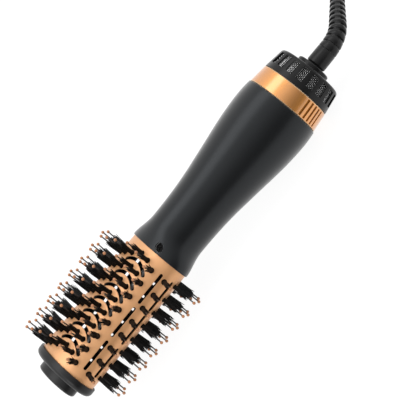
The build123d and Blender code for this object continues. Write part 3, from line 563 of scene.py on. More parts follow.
def slot_outline(u, v, width, length, corner, steps=6):
    """A rectangle, width along u and length along v, with rounded corners. Its sides get a point every
    spacing, but for those nearer than clear to a corner's own points."""
    spacing, clear = 1.5, 0.4
    points = []
    for turn, (side_u, side_v) in enumerate(((1, 1), (-1, 1), (-1, -1), (1, -1))):
        a = PI / 2 * (turn + np.linspace(0, 1, steps + 1))
        points.append(np.stack([u + side_u * (width / 2 - corner) + corner * np.cos(a),
                                v + side_v * (length / 2 - corner) + corner * np.sin(a)], 1))
    closed = np.concatenate(points + [points[0][:1]])
    run = np.concatenate([[0], np.cumsum(np.linalg.norm(np.diff(closed, axis=0), axis=1))])
    extra = np.arange(0, run[-1], spacing)
    at = np.sort(np.concatenate([run[:-1], extra[np.abs(extra[:, None] - run).min(1) > clear]]))
    return np.stack([np.interp(at, run, closed[:, k]) for k in (0, 1)], 1)


def bent_slot_outline(three_points, width, steps=18, end_steps=7):
    """A slot of even width along the circle through three points: its sides lie half a width
    either side of that circle, and a half circle closes each end."""
    (ax, ay), (bx, by), (cx, cy) = three_points
    d = 2 * (ax * (by - cy) + bx * (cy - ay) + cx * (ay - by))
    squares = np.array([ax * ax + ay * ay, bx * bx + by * by, cx * cx + cy * cy])
    centre = np.array([squares @ (by - cy, cy - ay, ay - by), squares @ (cx - bx, ax - cx, bx - ax)]) / d
    start, middle, end = (np.arctan2(y - centre[1], x - centre[0]) for x, y in three_points)
    angles = np.unwrap([start, middle, end])
    radius = np.hypot(ax - centre[0], ay - centre[1])
    turn = np.sign(angles[2] - angles[0])

    def arc(at, size, points):
        """Points of a circle round at, by their angles."""
        return at + size * np.stack([np.cos(points), np.sin(points)], 1)

    a = np.linspace(angles[0], angles[2], steps + 1)
    b = turn * PI * np.arange(1, end_steps) / end_steps
    last = arc(centre, radius, angles[2:])
    first = arc(centre, radius, angles[:1])
    return np.concatenate([arc(centre, radius + width / 2, a), arc(last, width / 2, angles[2] + b),
                           arc(centre, radius - width / 2, a[::-1]),
                           arc(first, width / 2, angles[0] + PI + b)])


def surface_normals(base, u, v, depth):
    """Unit normals of base(u, v, depth) from its slopes, pointing away from the axis."""
    step = 0.05
    along_u = base(u + step, v, depth) - base(u - step, v, depth)
    along_v = base(u, v + step, depth) - base(u, v - step, depth)
    normal = np.cross(along_u, along_v)
    normal /= np.maximum(np.linalg.norm(normal, axis=1, keepdims=True), 1e-12)
    return normal * np.sign(np.einsum("ij,ij->", normal, base(u, v, depth) * (0, 1, 1)))


def inside_outline(points, outline):
    """Whether points lie in a closed outline, by counting the edges that a ray crosses."""
    a, b = outline, np.roll(outline, -1, 0)
    x, y = points[:, :1], points[:, 1:]
    crosses = (a[:, 1] > y) != (b[:, 1] > y)
    rise = np.where(a[:, 1] == b[:, 1], 1, b[:, 1] - a[:, 1])
    return (crosses & (x < a[:, 0] + (y - a[:, 1]) * (b[:, 0] - a[:, 0]) / rise)).sum(1) % 2 == 1


def punched_wall(base, u_lines, v_lines, outlines, wall, lip, clear):
    """A wall that closes round u and has a hole for every outline in (u, v).
    base(u, v, depth) gives its points below the face. A grid of points and the outlines are joined by a
    Delaunay triangulation, used at depth 0 and again at depth wall. Each hole is wider by lip at the face,
    and rolls down to its own size over a depth of lip, by way of a ring of points part way.
    Returns points, normals, and the faces of the outer sheet, the inner sheet, the holes and the ends."""
    areas = [np.sum(o[:, 0] * np.roll(o[:, 1], -1) - o[:, 1] * np.roll(o[:, 0], -1)) for o in outlines]
    outlines = [o if area > 0 else o[::-1] for o, area in zip(outlines, areas)]
    wide = [moved_outline(o, lip) for o in outlines]

    # grid points in a hole or near its edge go, and the border stays whole
    grid = np.stack(np.meshgrid(u_lines, v_lines), -1)
    flat = grid.reshape(-1, 2)
    keep = np.ones(len(flat), bool)
    for outline in wide:
        low, high = outline.min(0) - clear, outline.max(0) + clear
        near = np.flatnonzero(keep & (flat > low).all(1) & (flat < high).all(1))
        if len(near):
            gap = np.linalg.norm(flat[near, None] - outline[None], axis=2).min(1)
            keep[near[(gap < clear) | inside_outline(flat[near], outline)]] = False
    edge = np.zeros(grid.shape[:2], bool)
    edge[[0, -1]] = True
    edge[:, [0, -1]] = True
    keep |= edge.ravel()

    # one flat sheet: the grid's points and the ring of every hole, its last column joined to its first
    index = np.full(len(flat), -1)
    index[keep] = np.arange(keep.sum())
    table = index.reshape(grid.shape[:2])
    starts = keep.sum() + np.cumsum([0] + [len(o) for o in wide])
    rings = [np.arange(a, b) for a, b in zip(starts, starts[1:])]
    sheet_uv = np.concatenate([flat[keep]] + wide)
    seams = np.concatenate([np.stack([table[:-1, k], table[1:, k]], 1) for k in (0, -1)])
    found = delaunay_2d_cdt([Vector(p) for p in sheet_uv.tolist()], seams.tolist(),
                            [ring.tolist() for ring in rings], 0, 1e-7)
    first = np.array([group[0] for group in found[3]])
    outer = first[np.array([f for f, hole in zip(found[2], found[5]) if not hole])]
    close = np.arange(len(sheet_uv))
    close[table[:, -1]] = table[:, 0]
    outer = close[outer]

    # all points: the face, the inner sheet, and two more rings for every hole, part way down its lip
    # and at the end of it
    sheet = len(sheet_uv)
    count = sheet - starts[0]
    part_way = 0.3 * lip
    own = np.concatenate(outlines)
    rolling = np.concatenate([moved_outline(o, part_way) for o in outlines])
    uv = np.concatenate([sheet_uv, flat[keep], own, rolling, own])
    depth = np.concatenate([np.zeros(sheet), np.full(sheet, wall), np.full(count, part_way),
                            np.full(count, lip)])
    normals = surface_normals(base, uv[:, 0], uv[:, 1], depth)
    points = base(uv[:, 0], uv[:, 1], depth)
    inner = outer[:, ::-1] + sheet

    # three bands of quads down every hole, and a strip along both ends of the wall
    holes = []
    for ring in rings:
        after = np.roll(ring, -1)
        shifts = (0, 2 * sheet - starts[0], 2 * sheet - starts[0] + count, sheet)
        for a, b in zip(shifts, shifts[1:]):
            holes.append(np.stack([ring + a, after + a, after + b, ring + b], 1))
    low = close[table[0]]
    high = close[table[-1]]
    ends = [np.stack([low[1:], low[:-1], low[:-1] + sheet, low[1:] + sheet], 1),
            np.stack([high[:-1], high[1:], high[1:] + sheet, high[:-1] + sheet], 1)]

    # normals: the inner sheet's are turned round, and the lips' lean over into their holes
    inwards = np.concatenate([o - moved_outline(o, 0.05) for o in outlines])
    lying = np.zeros(count)
    into = base(*(own + inwards).T, lying) - base(*own.T, lying)
    into /= np.linalg.norm(into, axis=1, keepdims=True)
    normals[sheet:2 * sheet] *= -1
    normals[2 * sheet:2 * sheet + count] += into
    normals[2 * sheet + count:] = into
    normals /= np.linalg.norm(normals, axis=1, keepdims=True)
    return points, normals, [outer, inner, np.concatenate(holes), np.concatenate(ends)]


def add_wall(name, wall_parts, node, slot):
    """A punched wall as a piece: its face, lips and ends in one finish, its inner sheet near black: the black
    plastic of the handle and cap, and painted shade inside the barrel.
    """
    points, normals, faces = wall_parts
    numbers = np.repeat([0, 1, 0, 0], [len(f) for f in faces])
    return add_piece(name, placed(points), faces, [finish_of(slot), finish_of("inner_plastic")],
                     "handle", [node], face_materials=numbers, normals=directions(normals))


# ---------------------------------------------------------------- finishes
def set_inputs(node, values):
    """Sets inputs of a shader node by their names."""
    for key, value in values.items():
        node.inputs[key].default_value = value


def shader_node(tree, kind, **values):
    """A shader node with some of its inputs set."""
    made = tree.nodes.new(kind)
    set_inputs(made, values)
    return made


def finish(name, colour, rough, metallic=0.0, grain=2500.0, bump=0.0002, mottle=0.12, spread=0.06,
           mottle_scale=60.0, stretch=(1, 1, 1), gloss=0.5, gloss_tint=(1.0, 1.0, 1.0), lacquer=1.0,
           lacquer_rough=0.4, sheen=0.0):
    """A surface with fine grain in its bump, slow variation in its colour and a roughness that wanders.
    grain and mottle_scale are features a metre, bump is a height in metres."""
    material = bpy.data.materials.new(name)
    material.use_nodes = True
    tree = material.node_tree
    shader = tree.nodes["Principled BSDF"]
    set_inputs(shader, {"Metallic": metallic, "Specular IOR Level": gloss, "Specular Tint": (*gloss_tint, 1),
                        "Coat Weight": 1.0 if lacquer > 1 else 0.0, "Coat IOR": max(lacquer, 1.0),
                        "Coat Roughness": lacquer_rough, "Sheen Weight": sheen, "Sheen Roughness": 0.35})
    where = tree.nodes.new("ShaderNodeTexCoord").outputs["Object"]
    pull = shader_node(tree, "ShaderNodeMapping", Scale=stretch)
    tree.links.new(where, pull.inputs["Vector"])
    slow = shader_node(tree, "ShaderNodeTexNoise", Scale=mottle_scale, Detail=3.0, Roughness=0.6)
    fine = shader_node(tree, "ShaderNodeTexNoise", Scale=grain, Detail=2.0, Roughness=0.5)
    tree.links.new(pull.outputs["Vector"], slow.inputs["Vector"])
    tree.links.new(pull.outputs["Vector"], fine.inputs["Vector"])
    tone = tree.nodes.new("ShaderNodeValToRGB")
    dark, pale = tone.color_ramp.elements
    dark.position, pale.position = 0.3, 0.7
    colour = np.asarray(colour[:3])
    dark.color = (*(colour * (1 - mottle)), 1)
    pale.color = (*np.minimum(colour * (1 + mottle), 1), 1)
    tree.links.new(slow.outputs["Fac"], tone.inputs["Fac"])
    tree.links.new(tone.outputs["Color"], shader.inputs["Base Color"])
    wander = tree.nodes.new("ShaderNodeMapRange")
    set_inputs(wander, {"To Min": max(rough - spread, 0.02), "To Max": rough + spread})
    tree.links.new(fine.outputs["Fac"], wander.inputs["Value"])
    tree.links.new(wander.outputs["Result"], shader.inputs["Roughness"])
    relief = shader_node(tree, "ShaderNodeBump", Strength=1.0, Distance=bump)
    tree.links.new(fine.outputs["Fac"], relief.inputs["Height"])
    tree.links.new(relief.outputs["Normal"], shader.inputs["Normal"])
    return material


made_finishes = {}


def finish_of(slot):
    """The finish of one of the record's material slots, made once."""
    if slot in made_finishes:
        return made_finishes[slot]
    colours = bpy.context.scene.brush_finish
    recipes = {
        "rose_gold": dict(colour=colours.rose_gold, rough=0.46, metallic=0.6, grain=3000, bump=0.000002,
                          mottle=0.04, spread=0.03, lacquer=1.6, lacquer_rough=0.45),
        "ring_gold": dict(colour=colours.ring_gold, rough=0.4, metallic=1.0, grain=3000, bump=0.000001,
                          mottle=0.02, spread=0.02, lacquer=2.0, lacquer_rough=0.18),
        # painted shade: the grooves' gold is darkened to stand for the shade in them
        "groove_shade_gold": dict(colour=0.55 * np.array(colours.ring_gold), rough=0.4, metallic=0.8, grain=3000,
                            bump=0.000001),
        # painted highlight: a pale gold on the ring's bevelled edges stands for the light that they catch
        "edge_highlight_gold": dict(colour=(0.95, 0.70, 0.45), rough=0.35, metallic=0.5, grain=3000, bump=0.000001,
                          mottle=0.02),
        "black_shell": dict(colour=colours.shell_black, rough=0.36, grain=3000, bump=0.00001, gloss=0.35),
        "handle_black": dict(colour=colours.handle_black, rough=0.31, grain=2500, bump=0.00001, mottle=0.08,
                             gloss=0.35, gloss_tint=(0.90, 0.95, 1.0), sheen=0.6),
        "charcoal": dict(colour=colours.charcoal, rough=0.3, grain=3000, bump=0.00001, gloss=0.24,
                         sheen=0.2),
        "mesh_steel": dict(colour=(0.85, 0.85, 0.85), rough=0.25, metallic=0.9, grain=4000, bump=0.000002),
        "bristle_nylon": dict(colour=colours.bristle, rough=0.5, grain=3000, bump=0.00001, gloss=0.25),
        "relief_rubber": dict(colour=colours.cord, rough=0.3, grain=3000, bump=0.00001, gloss=0.25,
                              sheen=0.35),
        "cord_rubber": dict(colour=colours.cord, rough=0.5, grain=4000, bump=0.00003),
        "tie_rubber": dict(colour=(0.015, 0.015, 0.015), rough=0.6, grain=2500, bump=0.00005),
        "plug_rubber": dict(colour=colours.cord, rough=0.48, grain=3500, bump=0.00003),
        "pin_metal": dict(colour=(0.62, 0.61, 0.59), rough=0.25, metallic=1.0, grain=4000, bump=0.000005,
                          mottle=0.04),
        # near black: the handle's and cap's own black plastic inside, and painted shade on the barrel's inner
        # sheet and the screen's hoops
        "inner_plastic": dict(colour=(0.02, 0.02, 0.02), rough=0.6, grain=2500, bump=0.00005),
        # painted shade: the handle screws are made near black to stand for the shade in their recesses
        "screw_recess_shade": dict(colour=(0.003, 0.003, 0.003), rough=0.6, grain=2500, bump=0.00001,
                                gloss=0.15),
        "plain_steel": dict(colour=(0.42, 0.42, 0.43), rough=0.35, metallic=1.0, grain=3500, bump=0.00001),
        "copper": dict(colour=(0.75, 0.32, 0.16), rough=0.35, metallic=1.0, grain=3000, bump=0.00004,
                       stretch=(1, 0.1, 0.1)),
        "mica": dict(colour=(0.45, 0.36, 0.24), rough=0.35, grain=900, bump=0.00003, mottle=0.25,
                     stretch=(1, 4, 4)),
        "heater_wire": dict(colour=(0.30, 0.27, 0.25), rough=0.4, metallic=0.9, grain=2500, bump=0.0002,
                            stretch=(1, 0.05, 0.05)),
        "board_green": dict(colour=(0.02, 0.13, 0.05), rough=0.4, grain=2000, bump=0.00003, mottle=0.2),
        "soft_rubber": dict(colour=(0.03, 0.03, 0.03), rough=0.75, grain=1800, bump=0.00006),
    }
    made_finishes[slot] = finish(slot, **recipes[slot])
    return made_finishes[slot]


# ---------------------------------------------------------------- operators
class HOTBRUSH_OT_camera(bpy.types.Operator):
    """Sets the camera at the photograph's viewing angle"""
    bl_idname = "hotbrush.camera"
    bl_label = "Camera"

    def execute(self, context):
        across = -np.cos(CAMERA_ANGLE) * SIDE - np.sin(CAMERA_ANGLE) * UP
        towards = -np.sin(CAMERA_ANGLE) * SIDE + np.cos(CAMERA_ANGLE) * UP
        right = PICTURE_ALONG[0] * AXIS + PICTURE_ALONG[1] * across
        upwards = PICTURE_ALONG[1] * AXIS - PICTURE_ALONG[0] * across
        aim = ORIGIN + MM * (CAMERA_AIM[0] * AXIS + CAMERA_AIM[1] * across)
        turn = Matrix(np.stack([right, upwards, towards], 1).tolist()).to_4x4()
        data = bpy.data.cameras.new("camera")
        data.lens = CAMERA_LENS
        data.sensor_width = CAMERA_SENSOR
        data.clip_end = CAMERA_REACH
        camera = bpy.data.objects.new("camera", data)
        context.scene.collection.objects.link(camera)
        camera.matrix_world = Matrix.Translation(aim + towards * CAMERA_DISTANCE) @ turn
        context.scene.camera = camera
        return {"FINISHED"}


def coil_points():
    """Control points of the coil in metres, by loop: four to every quarter turn, each quarter with its
    own radius, in through the lower layer, up over half a turn, and out through the upper one.
    A spline of order 3 runs inside its points by a fiftieth at this spacing, so they stand out by that."""
    ways = np.array([(1, 0), (0, -1), (-1, 0), (0, 1)], float)
    fractions = (np.arange(4) + 0.5) / 4 * PI / 2
    quarter = COIL_PITCH / 4
    here = np.array([COIL_X, COIL_Y + COIL_INNER_R + COIL_QUARTERS * quarter])
    inwards = [(COIL_INNER_R + i * quarter, 0.0) for i in range(COIL_QUARTERS, 0, -1)]
    climbing = [(COIL_INNER_R, 0.0)] * 2
    outwards = [(COIL_INNER_R + i * quarter, 1.0) for i in range(1, COIL_QUARTERS + 1)]
    points = []
    for turn, (radius, level) in enumerate(inwards + climbing + outwards):
        ahead, across = ways[turn % 4], ways[(turn + 1) % 4]
        centre = here + across * radius
        for angle in fractions:
            at = centre + radius * COIL_OUTSET * (ahead * np.sin(angle) - across * np.cos(angle))
            climbed = angle + (turn - COIL_QUARTERS) * PI / 2
            lift = (1 - np.cos(climbed)) / 2 if 0 < climbed < PI else level
            points.append((at[0], at[1], COIL_LOW_Z + COIL_LAYER * lift))
        here = here + (ahead + across) * radius
    points.append((here[0] + COIL_STRAIGHT, here[1], COIL_LOW_Z + COIL_LAYER))
    points.append((here[0] + COIL_EXIT, here[1], COIL_LOW_Z + COIL_LAYER))
    return np.array(points) * MM


class HOTBRUSH_OT_cord(bpy.types.Operator):
    """Lays the cord from the strain relief into its coil, with the tie and the plug"""
    bl_idname = "hotbrush.cord"
    bl_label = "Cord, tie and plug"

    def execute(self, context):
        points = np.concatenate([[CORD_EXIT], CORD_ROUTE, coil_points()])
        curve = bpy.data.curves.new("mains_cord", "CURVE")
        curve.dimensions = "3D"
        spline = curve.splines.new("NURBS")
        spline.points.add(len(points) - 1)
        spline.points.foreach_set("co", np.column_stack([points, np.ones(len(points))]).ravel())
        spline.order_u = 3
        spline.use_endpoint_u = True
        spline.resolution_u = 6
        curve.bevel_depth = CORD_DIAMETER / 2
        curve.bevel_resolution = 4
        curve.use_fill_caps = True
        curve.materials.append(finish_of("cord_rubber"))
        cord = bpy.data.objects.new("mains_cord", curve)
        context.scene.collection.objects.link(cord)
        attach(cord, "cord_set")
        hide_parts("cord_tube", "cord_coil")
        self.make_tie()
        self.make_plug()
        self.make_pins()
        return {"FINISHED"}

    def make_tie(self):
        """A strap of rounded section round the coil's two layers, with an end that laps over it."""
        middle_y = COIL_Y - (TIE_FAR + TIE_NEAR) / 2
        middle_z = (TIE_LOW + TIE_HIGH) / 2
        line = slot_outline(middle_y, middle_z, TIE_FAR - TIE_NEAR + TIE_THICKNESS,
                            TIE_HIGH - TIE_LOW + TIE_THICKNESS, TIE_ROUND)
        wide, thick, edge = TIE_WIDTH / 2, TIE_THICKNESS / 2, TIE_EDGE_ROUND
        section = rounded([(-wide, 0, 0), (-wide, thick, edge), (wide, thick, edge), (wide, -thick, edge),
                           (-wide, -thick, edge), (-wide, -0.1, 0)], steps=3)
        out = moved_outline(line, 1.0) - line
        across = COIL_X + section[None, :, 0] + 0 * line[:, :1]
        face = line[:, None] + out[:, None] * section[None, :, 1:2]
        strap = np.stack([across, face[..., 0], face[..., 1]], -1)
        rows, columns = across.shape
        strap_quads = grid_quads(rows + 1, columns) % (rows * columns)
        lap = slot_outline(COIL_X, TIE_LAP_Y, TIE_WIDTH - 1.0, TIE_LAP_LENGTH, 2.0)
        count = len(lap)
        lap_points = [(x, y, z) for z in TIE_LAP_HEIGHTS for x, y in lap]
        lap_points += [(*lap.mean(0), z) for z in TIE_LAP_HEIGHTS]
        points, polygons, numbers = stacked(
            (strap, [strap_quads], 0),
            (lap_points, [grid_quads(2, count), end_fans(2, count, 2 * count, 2 * count + 1)], 0))
        return add_piece("coil_strap", points * MM, polygons, [finish_of("tie_rubber")], "cord_set",
                         ["coil_tie"], face_materials=numbers)

    def make_plug(self):
        """A two-pin plug along X from sections of half width a, half height b and squareness n, whose
        points are (a |cos t|^(2/n), b |sin t|^(2/n)) with their signs. The neck has shallow rings, and
        the sides of the body have grip ridges."""
        end_x = PLUG_NECK_LENGTH + PLUG_BODY_LENGTH
        round_x = end_x - PLUG_END_ROUND
        x = np.concatenate([[0, 0.01, 0.4, 1.0], np.linspace(PLUG_RINGS[0], PLUG_NECK_LENGTH - 1, 40),
                            np.linspace(PLUG_NECK_LENGTH, round_x, 70),
                            round_x + PLUG_END_ROUND * np.sin(np.linspace(0.1, PI / 2, 8)), [end_x]])
        wide, tall, square = (np.interp(x, PLUG_STATIONS, sizes)
                              for sizes in (PLUG_HALF_WIDTHS, PLUG_HALF_HEIGHTS, PLUG_SQUARENESS))
        for sizes in (wide, tall, square):
            sizes[4:-9] = np.convolve(np.pad(sizes, 3, mode="edge"), np.ones(7) / 7, "valid")[4:-9]
        wave = np.clip(np.sin((x - PLUG_RINGS[0]) / PLUG_RING_PITCH * 2 * PI) * 2, -1, 1)
        rings = PLUG_RING_DEPTH * wave * ((x > PLUG_RINGS[0]) & (x < PLUG_RINGS[1]))
        end = np.clip((x - round_x) / PLUG_END_ROUND, 0, 1)
        drawn = rings - PLUG_END_ROUND * (1 - np.sqrt(1 - end ** 2))
        share = np.ones(len(x))
        share[[0, -1]] = 0
        t = 2 * PI * np.arange(96) / 96
        n = 2 / square[:, None]
        ridged = ((x > PLUG_RIDGES[0]) & (x < PLUG_RIDGES[1]))[:, None] * np.abs(np.cos(t)) ** 6
        wave = np.sin((x[:, None] - PLUG_RIDGES[0]) / PLUG_RIDGE_PITCH * 2 * PI) - 1
        ridge = PLUG_RIDGE_DEPTH * ridged * wave
        across = ((wide + drawn)[:, None] + ridge) * np.sign(np.cos(t)) * np.abs(np.cos(t)) ** n
        upright = (tall + drawn)[:, None] * np.sign(np.sin(t)) * np.abs(np.sin(t)) ** n
        points = np.stack([PLUG_MOUTH[0] + x[:, None] + 0 * t, PLUG_MOUTH[1] + across * share[:, None],
                           PLUG_MOUTH[2] + upright * share[:, None]], -1)
        return add_piece("mains_plug", points * MM, [grid_quads(len(x), len(t))], [finish_of("plug_rubber")],
                         "cord_set", ["plug_body"], sharp=50, merge=True)

    def make_pins(self):
        """Two round pins with rounded ends, each sleeved in black for its first half."""
        turn = np.linspace(0.3, PI / 2, 6)
        step = 0.01
        x = np.concatenate([[0, PLUG_PIN_SLEEVE, PLUG_PIN_SLEEVE + step, PLUG_PIN_SHANK],
                            PLUG_PIN_SHANK + PLUG_PIN_END * np.sin(turn)])
        radii = np.concatenate([[PLUG_PIN_R, PLUG_PIN_R, PLUG_PIN_BARE_R, PLUG_PIN_BARE_R],
                                PLUG_PIN_BARE_R - PLUG_PIN_END_DROP * (1 - np.cos(turn))])
        start = PLUG_MOUTH[0] + PLUG_NECK_LENGTH + PLUG_BODY_LENGTH
        centres = np.zeros((2, len(x), 3))
        centres[..., 0] = start + x
        centres[..., 1] = PLUG_MOUTH[1] + np.array([[-0.5], [0.5]]) * PLUG_PIN_SPACING
        centres[..., 2] = PLUG_MOUTH[2]
        points, (quads, fans) = tubes(centres, np.tile(radii, (2, 1)), sides=28)
        sleeved = points[quads].mean(1)[:, 0] < start + PLUG_PIN_SLEEVE + step / 2
        numbers = np.concatenate([np.where(sleeved, 1, 0), np.zeros(len(fans), int)])
        return add_piece("mains_pins", points * MM, [quads, fans],
                         [finish_of("pin_metal"), finish_of("plug_rubber")], "cord_set", ["plug_pins"],
                         face_materials=numbers)


def tuft_rows():
    """Name, oval angle and first station of every row of tufts."""
    rows = [("bristles_nose_upper", NOSE_ROW_ANGLE, NOSE_FIRST_X[0]),
            ("bristles_nose_lower", -NOSE_ROW_ANGLE, NOSE_FIRST_X[1]),
            ("bristles_tail_upper", 180 - NOSE_ROW_ANGLE, TAIL_FIRST_X[0]),
            ("bristles_tail_lower", 180 + NOSE_ROW_ANGLE, TAIL_FIRST_X[1])]
    for i, angle in enumerate(FACE_ROW_ANGLES):
        rows.append((f"bristles_front_{i + 1}", angle, FRONT_FIRST_X[i]))
        rows.append((f"bristles_back_{i + 1}", angle + 180, BACK_FIRST_X[i]))
    return rows


class HOTBRUSH_OT_barrel(bpy.types.Operator):
    """Makes the oval rose-gold barrel with its tuft holes, long slots and crescents"""
    bl_idname = "hotbrush.barrel"
    bl_label = "Barrel"

    def execute(self, context):
        angles = BARREL_SEAM + 2 * PI * np.arange(BARREL_STEPS + 1) / BARREL_STEPS
        steps = np.hypot(BARREL_P * np.diff(np.cos(angles)), BARREL_Q * np.diff(np.sin(angles)))
        run = np.concatenate([[0], np.cumsum(steps)])
        lap = run[-1]

        def along(angle):
            """Arc length round the oval from the seam to an own angle."""
            return np.interp((angle - BARREL_SEAM) % (2 * PI) + BARREL_SEAM, angles, run)

        def base(u, v, depth):
            """Points of the oval (v, -p cos t, q sin t) at arc length u, below its face by depth."""
            t = np.interp(u % lap, run, angles)
            out = np.stack([0 * t, -np.cos(t) / BARREL_P, np.sin(t) / BARREL_Q], 1)
            out /= np.linalg.norm(out, axis=1, keepdims=True)
            face = np.stack([v, -BARREL_P * np.cos(t), BARREL_Q * np.sin(t)], 1)
            return face - depth[:, None] * out

        outlines = []
        for _, angle, first_x in tuft_rows():
            u = along(np.radians(angle))
            for i in range(STATIONS):
                outlines.append(round_outline(u, first_x + i * STATION_PITCH, TUFT_HOLE_R, TUFT_HOLE_R))
        for angle in LONG_SLOT_ANGLES:
            u = along(np.radians(angle))
            for i in range(LONG_SLOTS):
                outlines.append(slot_outline(u, LONG_SLOT_FIRST_X + i * LONG_SLOT_PITCH, LONG_SLOT_WIDTH,
                                             LONG_SLOT_LENGTH, LONG_SLOT_WIDTH / 2 - 0.01))
        for points, width, apex_x, half_turn in (
                (CRESCENT, CRESCENT_WIDTH, CRESCENT_APEX_X, 0),
                (CRESCENT_BACK, CRESCENT_BACK_WIDTH, CRESCENT_BACK_APEX_X, PI)):
            plan = bent_slot_outline(points, width)
            u = along(half_turn + np.arccos(-plan[:, 1] / BARREL_P))
            for i in range(STATIONS - 1):
                outlines.append(np.stack([u, apex_x + i * STATION_PITCH + plan[:, 0]], 1))
        wall = punched_wall(base, np.linspace(0, lap, BARREL_GRID[0]),
                            np.linspace(0, BARREL_LENGTH, BARREL_GRID[1]), outlines, BARREL_WALL, BARREL_LIP,
                            BARREL_CLEAR)
        add_wall("perforated_barrel", wall, "barrel_shell", "rose_gold")
        return {"FINISHED"}


class HOTBRUSH_OT_tufts(bpy.types.Operator):
    """Plants every row of tufts: nylon bristles round a ball-tipped pin at each station"""
    bl_idname = "hotbrush.tufts"
    bl_label = "Bristle tufts"

    def execute(self, context):
        sizes = context.scene.brush_tufts
        colours = context.scene.brush_finish
        materials = [finish_of("bristle_nylon"),
                     finish("pin_nylon", colours.pin, 0.4, grain=2500, bump=0.00001),
                     finish("ball_tip", colours.ball, 0.38, grain=3000, bump=0.00001, mottle=0.15,
                            mottle_scale=200)]
        dice = np.random.default_rng(TUFT_SEED)
        for name, angle, first_x in tuft_rows():
            self.make_row(name, angle, first_x + STATION_PITCH * np.arange(STATIONS), sizes, dice, materials)
        return {"FINISHED"}

    def make_strands(self, stations, sizes, flare, dice):
        """A strand leaves its root at b, and at a share t of its height stands at b (1 + f t^1.6) + j t^2,
        with f the flare and j its own lean."""
        k = np.arange(sizes.strands)
        spread = np.sqrt(ROOT_R1 ** 2 + (ROOT_R2 ** 2 - ROOT_R1 ** 2) * (k + 0.5) / sizes.strands)
        a = k * GOLDEN_ANGLE + dice.uniform(0, 2 * PI, (STATIONS, 1))
        root = np.stack([spread * np.cos(a), spread * np.sin(a)], -1)
        root += dice.normal(0, ROOT_STRAY, root.shape)
        reach = sizes.strand_reach / MM * dice.uniform(*REACH_SHARES, root.shape[:2])
        reach *= 1 + np.einsum("ijk,ijk->ij", root, dice.normal(0, REACH_SLOPE, (STATIONS, 1, 2)))
        lean = dice.normal(0, STRAND_LEAN, root.shape) + dice.normal(0, TUFT_LEAN, (STATIONS, 1, 2))
        t = np.linspace(0, 1, 5)
        wider = (flare - 1) * t ** FLARE_POWER
        side = root[..., None, :] * (1 + wider[:, None]) + lean[..., None, :] * t[:, None] ** 2
        low = PAD_LOW + ROOT_RISE
        height = low + (reach[..., None] - low) * t
        strands = np.stack([stations[:, None, None] + side[..., 0], side[..., 1], height], -1)
        strands = strands.reshape(-1, len(t), 3)
        thin = sizes.strand_width / MM / 2 * np.array(STRAND_TAPER)
        return tubes(strands, np.tile(thin, (len(strands), 1)), sides=5)

    def make_row(self, name, angle, stations, sizes, dice, materials):
        """Strands, pins and their balls, pads and the rail that joins them, all stood on the seat."""
        flare = OPEN_FLARE if name == OPEN_ROW else sizes.flare
        ball_r = sizes.ball_width / MM / 2
        top = sizes.pin_reach / MM
        z = np.array([PAD_LOW + ROOT_RISE, *PIN_BENDS, top - ball_r])
        pins = np.zeros((STATIONS, len(z), 3))
        pins[..., :2] = dice.normal(0, PIN_LEAN, (STATIONS, 1, 2)) * np.clip(z / top, 0, 1)[:, None]
        pins[..., 0] += stations[:, None]
        pins[..., 2] = z
        pin_radii = np.tile(sizes.pin_width / MM / 2 * np.array(PIN_TAPER), (STATIONS, 1))
        balls = np.zeros((STATIONS, len(BALL_ANGLES), 3))
        balls[..., :2] = pins[:, -1:, :2]
        balls[..., 2] = top - ball_r - ball_r * np.cos(BALL_ANGLES)
        ball_radii = np.tile(ball_r * np.sin(BALL_ANGLES), (STATIONS, 1))
        pads = np.zeros((STATIONS, 2, 3))
        pads[..., 0] = stations[:, None]
        pads[..., 2] = (PAD_LOW, PAD_TOP)
        rail = np.full((1, 2, 3), (PAD_LOW + PAD_TOP) / 2)
        rail[0, :, 0] = stations[[0, -1]]
        rail[0, :, 1] = RAIL_OFFSET
        points, polygons, numbers = stacked(
            (*self.make_strands(stations, sizes, flare, dice), 0),
            (*tubes(pins, pin_radii, sides=8), 1),
            (*tubes(balls, ball_radii, sides=10), 2),
            (*tubes(pads, np.full((STATIONS, 2), PAD_R), sides=14), 0),
            (*tubes(rail, np.full((1, 2), RAIL_R), sides=6), 0))
        foot, round_way, out = seat(angle)
        points = points[:, :1] * (1, 0, 0) + foot + points[:, 1:2] * round_way + points[:, 2:] * out
        add_piece(name.replace("bristles", "tufts"), placed(points), polygons, materials, "handle", [name],
                  face_materials=numbers, sharp=50)


